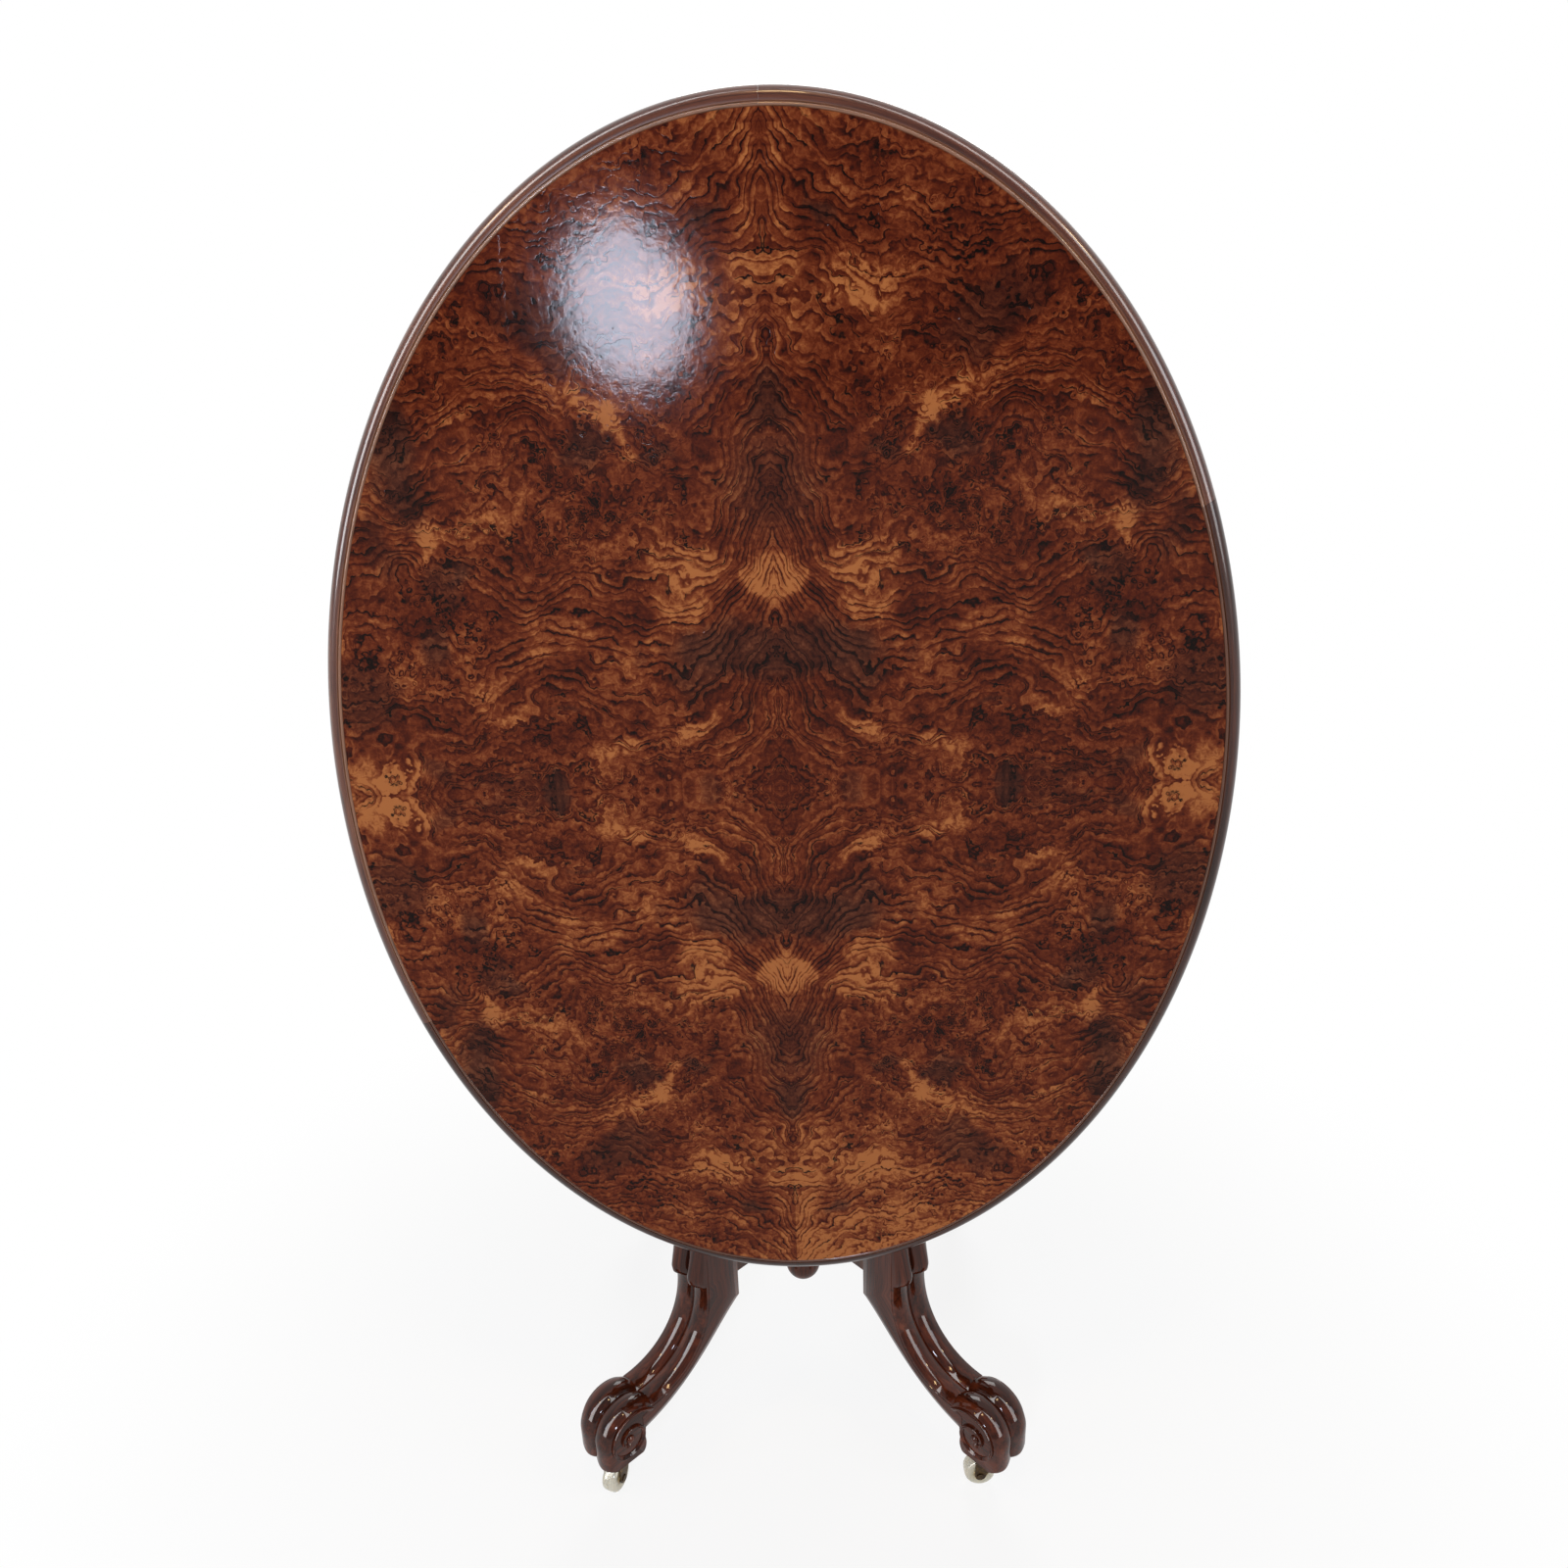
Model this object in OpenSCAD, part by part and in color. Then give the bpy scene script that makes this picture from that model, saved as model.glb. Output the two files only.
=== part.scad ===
// Oval tilt-top loo table on four turned columns and four scrolled legs.
// Millimetres, +Z up, floor at z = 0, origin under the middle of the base.
// At rest the top is tipped up, its veneered face towards -Y and its length upright.

/* [Top] */
// Width of the oval top
top_w = 840; // [760:1:900]
// Length of the oval top
top_l = 1138; // [1060:1:1220]
// Height of the table when the top is level
table_h = 750; // [720:1:780]
// Thickness of the ground board
board_t = 21; // [18:0.5:24]
// Thickness of the face veneer
veneer_t = 1.2; // [0.8:0.1:2]
// Width of the rim moulding seen from above
rim_w = 17; // [15:0.5:20]
// How far the rim hangs below the ground board
rim_drop = 8; // [5:0.5:11]
// Height of the swelling ovolo of the rim
rim_round = 13.5; // [11:0.5:14]

/* [Bearers and pivot] */
// Length of each bearer
bearer_l = 760; // [700:5:800]
// Width of each bearer
bearer_w = 26; // [22:1:30]
// Depth of each bearer at the middle
bearer_d = 45; // [41:1:50]
// Depth of each bearer at its ends
bearer_end_d = 18; // [14:1:24]
// Distance of the pivot in front of the middle of the base
pivot_y = 145; // [135:1:155]
// Distance of the pivot below the ground board
pivot_drop = 23; // [20:0.5:25]
// Radius of the pivot pins
pin_r = 6; // [5:0.25:7]
// How far each pivot pin enters the block
pin_in = 42; // [30:1:55]
// Thickness of the pivot washers
washer_t = 1.6; // [1:0.1:1.8]

/* [Block] */
// Width of the pivot block
block_w = 280; // [272:1:296]
// Thickness of the pivot block
block_t = 40; // [37:1:46]

/* [Catch] */
// Length of the catch lever from its pivot
lever_l = 34; // [30:1:38]
// Thickness of the catch lever
lever_t = 4; // [3:0.5:5]
// Radius of the catch pivot
catch_r = 3; // [2.5:0.25:3.5]
// Thickness of the brass of the catch plates
brass_t = 3; // [2.5:0.25:3.5]

/* [Columns] */
// Distance of the column axes from the middle of the base
column_at = 152; // [150:0.5:155]
// Largest radius of a column's belly
belly_r = 27; // [23:0.5:29]
// Radius of a column at its neck
neck_r = 15; // [13:0.5:17]
// Radius of the column tenons
tenon_r = 10; // [8:0.5:11]
// Length of the column tenons
tenon_l = 20; // [16:1:24]

/* [Base] */
// Height of the top of the legs' blocks
leg_top = 268; // [264:1:276]
// Width of the cross rails
rail_w = 44; // [38:1:48]
// Height of the cross rails
rail_h = 52; // [46:1:56]
// Thickness of the tenons of the cross rails
rail_tenon_t = 12; // [10:1:14]
// Length of the tenons of the cross rails
rail_tenon_l = 9; // [7:1:11]
// Radius of the drop under the cross
drop_r = 22; // [19:0.5:26]
// Height of the bottom of the drop
drop_z = 97; // [92:1:102]
// Radius of the spigots of the drop and the finial
spigot_r = 8; // [6:0.5:9]
// Height of the finial above the cross
finial_h = 150; // [130:1:180]
// Largest radius of the finial
finial_r = 27; // [24:0.5:30]

/* [Legs] */
// Width of a leg
leg_w = 57; // [52:0.5:60]
// Distance of the inner face of a leg from the middle of the base
leg_in = 130; // [128:0.5:132]
// Distance of the front of a leg's block from the middle of the base
leg_front = 180; // [178:0.5:184]
// Height of the inner corner of a leg
leg_corner_z = 172; // [166:1:176]
// Height of the lower edge of the knee
knee_z = 218; // [213:1:223]
// How far the knee's two lobes stand out
knee_out = 11; // [8:0.5:13]
// Height where the front of a leg starts to bend outward
bend_z = 205; // [200:1:210]
// How far the two ribs stand out on the front of a leg
rib_out = 4.5; // [3:0.25:6]
// Width of the chamfer along the inner and under edges of a leg
chamfer_w = 10; // [7:0.5:13]
// Depth of that chamfer
chamfer_d = 4; // [2.5:0.25:5]
// Distance of the scroll's axis from the middle of the base
scroll_at = 302; // [296:1:308]
// Radius of the scroll of the foot
scroll_r = 36; // [33:0.5:38]
// Height of the carved volute above the side of the scroll
volute_out = 2.6; // [1.5:0.1:4]
// Width of the band that forms the volute
volute_band = 4.6; // [3.5:0.1:6]
// Direction in which the volute starts, from its eye
volute_start = 150; // [140:1:160]

/* [Castors] */
// Radius of a castor wheel
wheel_r = 17.5; // [16:0.5:18]
// Width of a castor wheel
wheel_w = 18; // [16:0.5:20]
// Distance of a wheel's axle behind its swivel
trail = 11; // [9:0.5:13]
// Thickness of the cheeks of a fork
cheek_t = 2.2; // [1.8:0.1:3]
// Radius of a wheel's axle
axle_r = 2.5; // [2:0.25:3]
// Radius of a castor plate
plate_r = 15; // [13:0.5:16]
// Radius of the stem and swivel pin of a castor
stem_r = 4; // [3.5:0.25:4.5]
// Length of the stem in the foot
stem_l = 26; // [20:1:30]

/* [Fits] */
// Radial clearance of pins, tenons and spigots in their holes
fit = 0.05; // [0.03:0.01:0.08]
// Gap between faces that turn past each other
gap = 0.5; // [0.4:0.05:0.6]
// Gap between the block and the board that rests on it
rest_gap = 0.3; // [0.2:0.05:0.4]

/* [Hidden] */
$fn = 64;
steps = 96;                     // facets round the oval, a multiple of four
rim_joint = 7;                  // facets from the oval's widest point to a joint of the rim
ring = 360 / steps;
half_w = top_w / 2;
half_l = top_l / 2;
under_z = table_h - board_t - veneer_t;   // underside of the board when level
pivot_z = under_z - pivot_drop;
block_under = under_z - block_t;
block_half = pivot_y + pivot_drop;        // the block reaches as far back as in front
nose_r = pivot_drop - rest_gap;
side_gap = washer_t + gap;                // block side to bearer
bearer_x = block_w / 2 + side_gap + bearer_w / 2;
bearer_screw_y = [-bearer_l * 0.42, -bearer_l * 0.05, bearer_l * 0.2, bearer_l * 0.42];
screw_r = 2.5;
screw_head_r = 4.8;
screw_head_t = 2.6;
screw_bite = board_t * 0.6;               // how far screws enter the board
small_screw_r = 1.75;
head_r = 11;                              // pivot pin heads and washers
head_t = 5;
rail_top = leg_top - 18;
rail_under = rail_top - rail_h;
corners = [[1, -1], [-1, -1], [-1, 1], [1, 1]];   // front right, front left, back left, back right
crown_under = 2 * wheel_r + 3.5;
crown_top = crown_under + 4.5;
fork_top = crown_top + 4.5;
plate_z = fork_top + gap;
foot_z = plate_z + brass_t;               // underside of a leg's foot
scroll_z = foot_z + sqrt(pow(scroll_r, 2) - pow(plate_r * 0.95, 2));
cheek_in = wheel_w / 2 + gap;

// Where each wheel points from its swivel, in degrees, as the table was last pushed
castor_turn = [183, -112, 128, 64];

// Placing

// The top is drawn level, with its underside at z = 0 and its middle at the origin
module tipped() {
    translate([0, -block_half, pivot_z + pivot_y]) rotate([90, 0, 0]) children();
}

// A corner of the base is drawn along +X, turned out to one of the four legs
module at_corner(i) {
    rotate([0, 0, atan2(corners[i][1], corners[i][0])]) children();
}

module at_castor(i) {
    at_corner(i) translate([scroll_at, 0, 0])
        rotate([0, 0, castor_turn[i] - atan2(corners[i][1], corners[i][0])]) children();
}

// Outlines

function oval(inset, k) = [(half_w - inset) * cos(k * ring), (half_l - inset) * sin(k * ring)];

// Half-round ring of a turning, from height z over height h, standing b out from radius r
function bead(z, h, r, b, n = 8) = [for (k = [0:n]) [r + b * sin(180 * k / n), z + h * k / n]];

// Smooth change of a turning from radius r0 at z0 to r1 at z1
function sweep(z0, r0, z1, r1, n = 8) =
    [for (k = [0:n]) [r0 + (r1 - r0) * (1 - cos(180 * k / n)) / 2, z0 + (z1 - z0) * k / n]];

function bezier(p, u) = pow(1 - u, 3) * p[0] + 3 * pow(1 - u, 2) * u * p[1]
    + 3 * (1 - u) * pow(u, 2) * p[2] + pow(u, 3) * p[3];

// Top

module top_board() {
    color("saddlebrown") tipped() difference() {
        linear_extrude(board_t) polygon([for (k = [0:steps - 1]) oval(rim_w, k)]);
        for (s = [-1, 1], y = bearer_screw_y)
            translate([s * bearer_x, y, -1]) cylinder(r = screw_r + fit, h = screw_bite + 1);
        for (x = keeper_screw_x) translate([x, keeper_screw_y, -1])
            cylinder(r = small_screw_r + fit, h = screw_bite + 1);
    }
}

module veneer(quarter) {
    first = quarter * steps / 4;
    color("chocolate") tipped() translate([0, 0, board_t]) linear_extrude(veneer_t)
        polygon(concat([[0, 0]], [for (k = [first:first + steps / 4]) oval(rim_w, k)]));
}

// Section of the rim as [inset from the outer edge, height above the board's underside]:
// a small bead and quirk beside the field, a fillet, a broad ovolo and a hollow below
face_z = board_t + veneer_t;
bead_w = 3;
quirk_d = 1.6;
fillet_w = 1.4;
round_top = face_z - 1.4;
round_w = rim_w - bead_w - fillet_w - 1.1;
hollow = 7;
hollow_top = round_top - rim_round - 2.6;
rim_section = concat(
    [[rim_w, -rim_drop]],
    [for (k = [0:5]) [rim_w - bead_w * k / 5, face_z - 1.1 * (1 - sin(155 * k / 5))]],
    [[rim_w - bead_w - 0.5, face_z - quirk_d], [rim_w - bead_w - 1.1, face_z - quirk_d / 3],
     [round_w, face_z - quirk_d / 3]],
    [for (k = [0:8]) [round_w * (1 - sin(90 * k / 8)), round_top - rim_round * (1 - cos(90 * k / 8))]],
    [[0, round_top - rim_round - 2], [1.2, hollow_top]],
    [for (k = [1:5]) [1.2 + hollow * sin(90 * k / 5),
        hollow_top - (hollow_top + rim_drop) * (1 - cos(90 * k / 5))]]);

module rim(first, last) {
    m = len(rim_section);
    n = last - first;
    points = [for (k = [first:last], q = rim_section) let (p = oval(q[0], k)) [p[0], p[1], q[1]]];
    walls = [for (k = [0:n - 1], j = [0:m - 1]) let (a = k * m + j, b = k * m + (j + 1) % m)
        each [[a, b, a + m], [b, b + m, a + m]]];
    ends = [[for (j = [m - 1:-1:0]) j], [for (j = [0:m - 1]) n * m + j]];
    color("sienna") tipped() polyhedron(points, concat(walls, ends), convexity = 6);
}

// Bearers and pivot

module bearer(side) {
    taper = bearer_l / 5;
    color("brown") tipped() difference() {
        translate([side * bearer_x - bearer_w / 2, 0, 0]) rotate([90, 0, 90]) linear_extrude(bearer_w)
            polygon(concat(
                [[-bearer_l / 2, 0], [-bearer_l / 2, -bearer_end_d]],
                [for (k = [0:8]) [-bearer_l / 2 + taper * (0.15 + 0.6 * k / 8),
                    -bearer_end_d - (bearer_d - bearer_end_d) * (1 - cos(180 * k / 8)) / 2]],
                [for (k = [8:-1:0]) [bearer_l / 2 - taper * (0.15 + 0.6 * k / 8),
                    -bearer_end_d - (bearer_d - bearer_end_d) * (1 - cos(180 * k / 8)) / 2]],
                [[bearer_l / 2, -bearer_end_d], [bearer_l / 2, 0]]));
        translate([side * bearer_x, -pivot_y, -pivot_drop]) rotate([0, 90, 0])
            cylinder(r = pin_r + fit, h = bearer_w + 2, center = true);
        for (y = bearer_screw_y) translate([side * bearer_x, y, 0]) {
            translate([0, 0, -bearer_d - 1]) cylinder(r = screw_r + fit, h = bearer_d + 2);
            translate([0, 0, -bearer_d - 1])
                cylinder(r = screw_head_r + fit, h = bearer_d + 1 - screw_seat(y));
        }
    }
}

// Depth of a screw head's seat below the board: near the ends the bearers are thinner
function screw_seat(y) = bearer_end_d - screw_head_t - 1;

module bearer_screws() {
    color("darkslategray") tipped() for (s = [-1, 1], y = bearer_screw_y)
        translate([s * bearer_x, y, 0]) {
            translate([0, 0, -screw_seat(y)]) cylinder(r = screw_r, h = screw_seat(y) + screw_bite - 1);
            translate([0, 0, -screw_seat(y) - screw_head_t]) difference() {
                cylinder(r = screw_head_r, h = screw_head_t);
                translate([-screw_head_r, -0.5, -1]) cube([2 * screw_head_r, 1, 1.8]);
            }
        }
}

module pivot_block() {
    color("maroon") difference() {
        union() {
            translate([-block_w / 2, -pivot_y, block_under])
                cube([block_w, pivot_y + block_half, block_t - rest_gap]);
            translate([-block_w / 2, -pivot_y - nose_r, block_under])
                cube([block_w, nose_r, pivot_z - block_under]);
            // The front edge is rounded about the pivot, so that the board rolls over it
            intersection() {
                translate([0, -pivot_y, pivot_z]) rotate([0, 90, 0])
                    cylinder(r = nose_r, h = block_w, center = true);
                translate([-block_w / 2, -pivot_y - nose_r, pivot_z]) cube([block_w, nose_r, nose_r]);
            }
        }
        for (s = [-1, 1]) translate([s * block_w / 2, -pivot_y, pivot_z]) rotate([0, 90, 0])
            cylinder(r = pin_r + fit, h = 2 * (pin_in + 1), center = true);
        for (i = [0:3]) at_corner(i) translate([column_at, 0, block_under - 1])
            cylinder(r = tenon_r + fit, h = tenon_l + 2);
        translate([0, catch_y, block_under - 1]) cylinder(r = catch_r + fit, h = catch_in + 2);
        for (x = plate_screw_x, y = plate_screw_y) translate([x, catch_y + y, block_under - 1])
            cylinder(r = small_screw_r + fit, h = small_bite + 2);
    }
}

module pivot_pin(side) {
    color("goldenrod") translate([side * block_w / 2, -pivot_y, pivot_z]) rotate([0, side * 90, 0]) {
        translate([0, 0, -pin_in]) cylinder(r = pin_r, h = pin_in + side_gap + bearer_w + gap + 1);
        translate([0, 0, side_gap + bearer_w + gap]) difference() {
            cylinder(r = head_r, h = head_t);
            translate([-head_r, -0.8, head_t - 1.6]) cube([2 * head_r, 1.6, 2]);
        }
    }
}

module pivot_washers() {
    color("gold") for (s = [-1, 1]) translate([s * block_w / 2, -pivot_y, pivot_z]) rotate([0, s * 90, 0])
        difference() {
            cylinder(r = head_r, h = washer_t);
            translate([0, 0, -1]) cylinder(r = pin_r + fit, h = washer_t + 2);
        }
}

// Catch: a lever under the block turns over the lip of a keeper on the top

catch_in = 16;
small_bite = 12;
catch_y = block_half - lever_l + 12;      // the turned lever reaches past the block
plate_w = 46;
plate_d = 28;
plate_screw_x = [-plate_w / 2 + 5, plate_w / 2 - 5];
plate_screw_y = [-plate_d / 2 + 5];
lever_z = block_under - brass_t - gap - lever_t;
knob_at = lever_l / 2 - 1;                // the knob stays in front of the keeper's lip
keeper_gap = 2;                           // block's back face to the keeper
keeper_y = block_half + keeper_gap;
keeper_w = 26;
lip_t = 4;
keeper_screw_x = [-keeper_w / 2 + 6, keeper_w / 2 - 6];
keeper_screw_y = keeper_y + 13;

module catch_plate() {
    color("gold") translate([0, catch_y, block_under - brass_t]) difference() {
        translate([-plate_w / 2, -plate_d / 2, 0]) cube([plate_w, plate_d, brass_t]);
        translate([0, 0, -1]) cylinder(r = catch_r + fit, h = brass_t + 2);
        for (x = plate_screw_x, y = plate_screw_y) translate([x, y, -1])
            cylinder(r = small_screw_r + fit, h = brass_t + 2);
    }
}

module small_screw(length) {
    cylinder(r = small_screw_r, h = length);
    translate([0, 0, -1.2]) cylinder(r = small_screw_r * 1.9, h = 1.2);
}

module catch_screws() {
    color("darkgoldenrod") for (x = plate_screw_x, y = plate_screw_y)
        translate([x, catch_y + y, block_under - brass_t]) small_screw(brass_t + small_bite - 1);
}

module catch_pivot() {
    color("darkgoldenrod") translate([0, catch_y, 0]) {
        translate([0, 0, lever_z - gap]) cylinder(r = catch_r, h = block_under + catch_in - lever_z);
        translate([0, 0, lever_z - gap - 2]) cylinder(r = catch_r + 2.5, h = 2);
    }
}

// The lever lies along +X when it is open, and turns to +Y over the keeper's lip
module catch_lever() {
    color("goldenrod") translate([0, catch_y, lever_z]) difference() {
        union() {
            cylinder(r = catch_r + 4.5, h = lever_t);
            translate([0, -4, 0]) cube([lever_l - 4, 8, lever_t]);
            translate([lever_l - 4, 0, 0]) cylinder(r = 4, h = lever_t);
            translate([knob_at, 0, -9]) cylinder(r = 2, h = 10);
            translate([knob_at, 0, -12]) rotate_extrude() polygon(bead_knob());
        }
        translate([0, 0, -1]) cylinder(r = catch_r + fit, h = lever_t + 2);
    }
}

function bead_knob() =
    concat([[0, 0]], [for (k = [0:8]) [2 + 3.5 * sin(22 + 136 * k / 8), 5 * k / 8]], [[0, 5]]);

// The keeper hangs from the board behind the block; its lip passes under the lever
module catch_keeper() {
    stem_x = -keeper_w / 2;
    lip_top = lever_z - gap - under_z;
    color("gold") tipped() difference() {
        union() {
            translate([0, keeper_y + brass_t, 0]) rotate([90, 0, 0]) linear_extrude(brass_t)
                polygon([[stem_x, 0], [stem_x, lip_top - lip_t], [keeper_w / 2, lip_top - lip_t],
                         [keeper_w / 2, lip_top - 0.8], [keeper_w / 2 - 3, lip_top],
                         [stem_x + 8, lip_top], [stem_x + 8, -12], [keeper_w / 2, -6], [keeper_w / 2, 0]]);
            translate([-keeper_w / 2, keeper_y, -brass_t]) cube([keeper_w, 22, brass_t]);
        }
        for (x = keeper_screw_x) translate([x, keeper_screw_y, -brass_t - 1])
            cylinder(r = small_screw_r + fit, h = brass_t + 2);
    }
}

module keeper_screws() {
    color("darkgoldenrod") tipped() for (x = keeper_screw_x)
        translate([x, keeper_screw_y, -brass_t]) small_screw(brass_t + screw_bite - 1);
}

// Columns, cross and turnings

column_l = block_under - leg_top;
belly_at = 0.36;                          // place of the widest part, as a share of the column

module column(i) {
    shaft_lo = 48;                        // height of the foot mouldings
    shaft_hi = column_l - 62;             // start of the head mouldings
    widest = shaft_lo + (shaft_hi - shaft_lo) * belly_at;
    color("saddlebrown") at_corner(i) translate([column_at, 0, leg_top]) rotate_extrude() polygon(concat(
        [[0, -tenon_l], [tenon_r, -tenon_l], [tenon_r, 0], [belly_r - 1, 0], [belly_r - 1, 6]],
        bead(6, 11, belly_r - 3, 3.5),
        sweep(18, belly_r - 4, 33, neck_r + 1),
        bead(34, 7, neck_r + 2, 3.5),
        sweep(42, neck_r, widest, belly_r, 14),
        sweep(widest, belly_r, shaft_hi, neck_r, 16),
        bead(shaft_hi + 2, 6, neck_r + 1.5, 3),
        sweep(shaft_hi + 9, neck_r, shaft_hi + 30, neck_r + 1),
        bead(shaft_hi + 31, 9, neck_r + 3, 4.5),
        sweep(shaft_hi + 41, neck_r + 2, shaft_hi + 54, belly_r - 4),
        [[belly_r - 4, column_l], [tenon_r, column_l],
         [tenon_r, column_l + tenon_l], [0, column_l + tenon_l]]));
}

// Two rails cross with a half lap and enter the legs with tenons
module cross_rail(level) {
    turn = level > 0 ? -45 : 45;
    lap = (rail_top + rail_under) / 2;
    color("maroon") difference() {
        rotate([0, 0, turn]) difference() {
            union() {
                translate([-leg_in, -rail_w / 2, rail_under]) cube([2 * leg_in, rail_w, rail_h]);
                translate([-leg_in - rail_tenon_l, -rail_tenon_t / 2, rail_under + rail_h / 5])
                    cube([2 * (leg_in + rail_tenon_l), rail_tenon_t, rail_h * 0.6]);
            }
            // Chamfered lower edges
            for (s = [-1, 1]) translate([0, s * rail_w / 2, rail_under]) rotate([45, 0, 0])
                cube([2 * leg_in + 2 * rail_tenon_l + 2, 8, 8], center = true);
        }
        rotate([0, 0, turn + 90]) translate([-leg_in, -rail_w / 2 - fit, level > 0 ? rail_under - 1 : lap])
            cube([2 * leg_in, rail_w + 2 * fit, rail_h / 2 + 1]);
        translate([0, 0, rail_under - 1]) cylinder(r = spigot_r + fit, h = rail_h + 2);
    }
}

module finial() {
    s = finial_h / 150;
    waist = finial_r * 0.4;
    neck = finial_r / 3;
    knob = finial_r * 0.3;
    knob_z = finial_h * 0.75;
    color("sienna") translate([0, 0, rail_top]) rotate_extrude() polygon(concat(
        [[0, -rail_h / 2 + 1], [spigot_r, -rail_h / 2 + 1], [spigot_r, 0],
         [finial_r + 3, 0], [finial_r + 3, 5 * s]],
        bead(5 * s, 9 * s, finial_r - 1, 4),
        sweep(15 * s, finial_r - 2, 34 * s, waist),
        bead(35 * s, 6 * s, waist + 1, 3.5),
        sweep(42 * s, waist, 74 * s, finial_r, 10),
        bead(74 * s, 8 * s, finial_r, 2.5),
        sweep(83 * s, finial_r - 1, 104 * s, neck, 10),
        bead(105 * s, 6 * s, neck + 0.5, 3),
        [for (k = [0:9]) [0.01 + knob * sin(45 + 135 * k / 9),
            knob_z + (finial_h - knob_z) * (1 - cos(90 * k / 9)) * (0.5 + 0.5 * k / 9)]],
        [[0, finial_h]]));
}

module drop() {
    neck_z = rail_under - 8;
    centre = drop_z + drop_r;
    color("sienna") rotate_extrude() polygon(concat(
        [[0, rail_under + rail_h / 2 - 1], [spigot_r, rail_under + rail_h / 2 - 1], [spigot_r, rail_under],
         [drop_r + 3, rail_under], [drop_r + 3, neck_z + 3]],
        [for (k = [8:-1:0]) [drop_r - 3 + 4 * sin(180 * k / 8), neck_z - 6 + 9 * k / 8]],
        sweep(neck_z - 7, drop_r - 6, centre + drop_r * 0.92, drop_r * 0.5),
        [for (k = [0:14]) [drop_r * sin(30 + 150 * k / 14) + 0.01, centre + drop_r * cos(30 + 150 * k / 14)]],
        [[0, drop_z]]));
}

// Legs

// Lines of the leg in its upright plane, as [distance from the middle, height]
leg_hw = leg_w / 2;
ankle_z = scroll_z + scroll_r * 0.7;      // top of the leg at the notch beside the scroll
ankle = 30;                               // depth of the leg there
front_line = [[leg_front, bend_z], [leg_front, bend_z - 55],
    [leg_front + 35, ankle_z], [scroll_at - 34, ankle_z]];
under_line = [[leg_in, leg_corner_z], [leg_in + 33, leg_corner_z - 20],
    [leg_in + 74, ankle_z - ankle / 2], [scroll_at - 24, ankle_z - ankle]];
bends = 14;
knee_rise = [0.6, 5, 12, 21, 32, 42];                 // levels of the post above the knee's lower edge
knee_share = [0.55, 0.9, 1, 0.8, 0.5, 0.25];          // share of the swell at each of them
levels = len(knee_rise) - 1;
stations = concat(
    [[[leg_in, leg_top], [leg_front, leg_top], 0]],
    [for (k = [levels:-1:0]) [[leg_in, knee_z + knee_rise[k]], [leg_front, knee_z + knee_rise[k]],
        knee_share[k] * knee_out]],
    [[[leg_in, knee_z], [leg_front, knee_z], 0]],
    [for (k = [0:bends]) [bezier(under_line, k / bends), bezier(front_line, k / bends), 0]],
    [[[scroll_at - 18, scroll_z - 7], [scroll_at - 19, scroll_z + 21], 0]]);

// Cross section of the leg as [sideways, share of the depth, distance further forward]:
// a wide chamfer along the back edge, plain sides and two ribs parted by a groove
lobes = 6;
half_section = concat(
    [[-leg_hw + chamfer_d, 0, 0], [-leg_hw, 0, chamfer_w], [-leg_hw, 1, -1.5]],
    [for (k = [0:lobes - 1])
        [-leg_hw * (1 - k / lobes), 1, rib_out * sin(180 * k / lobes) - (k == 0 ? 0.4 : 0)]]);
section = concat(half_section, [[0, 1, -1.2]],
    [for (k = [len(half_section) - 1:-1:0]) [-half_section[k][0], half_section[k][1], half_section[k][2]]]);

// A point of the section at one station; each rib swells forward at the knee
function leg_point(st, q) =
    let (depth = st[1] - st[0], along = depth / norm(depth),
         lobe = max(0, (q[2] + 1.5) / (rib_out + 1.5)),
         p = st[0] + q[1] * depth + (q[2] + (q[1] == 1 ? st[2] * lobe : 0)) * along)
    [p[0], q[0], p[1]];

module leg_shaft() {
    m = len(section);
    n = len(stations) - 1;
    points = [for (st = stations, q = section) leg_point(st, q)];
    walls = [for (k = [0:n - 1], j = [0:m - 1]) let (a = k * m + j, b = k * m + (j + 1) % m)
        each [[a, b, a + m], [b, b + m, a + m]]];
    ends = [[for (j = [m - 1:-1:0]) j], [for (j = [0:m - 1]) n * m + j]];
    polyhedron(points, concat(walls, ends), convexity = 8);
}

// The scroll starts wide at the notch, closes over the top, drops upright in front, and is flat
// and bored below, where the castor's plate bears and its stem enters. Its sides are sunk a little
side_sink = 0.4;
core = scroll_r - rib_out - 1.5;          // least radius, where the front is upright
swing = 12;                               // how much wider the scroll starts than it ends
inner_r = scroll_r * 0.63;                // radius on the side of the leg
pad = scroll_z - foot_z + 3;              // depth before the foot is cut flat
corner_r = core * 1.33;                   // rounds the foot's front corner
around = 45;
// Directions from the scroll's axis, in degrees, where its edge changes from one line to the next
widen_from = 20;
corner_at = -50;
heel_at = -110;
inner_from = -160;
inner_to = -178;
function widen(a) = a > widen_from ? swing * pow((a - widen_from) / (volute_start - widen_from), 1.3) : 0;
function blend(a, a0, r0, a1, r1) = r0 + (r1 - r0) * (1 - cos(180 * (a - a0) / (a1 - a0))) / 2;
function scroll_edge(a) = a > 0 ? core + widen(a)
    : a > corner_at ? min(core / cos(a), corner_r)
    : a > heel_at ? min(pad / cos(a + 90), corner_r)
    : a > inner_from ? blend(a, heel_at, pad / cos(heel_at + 90), inner_from, inner_r)
    : a > inner_to ? inner_r
    : blend(a, inner_to, inner_r, volute_start - 360, core + swing);

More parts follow.
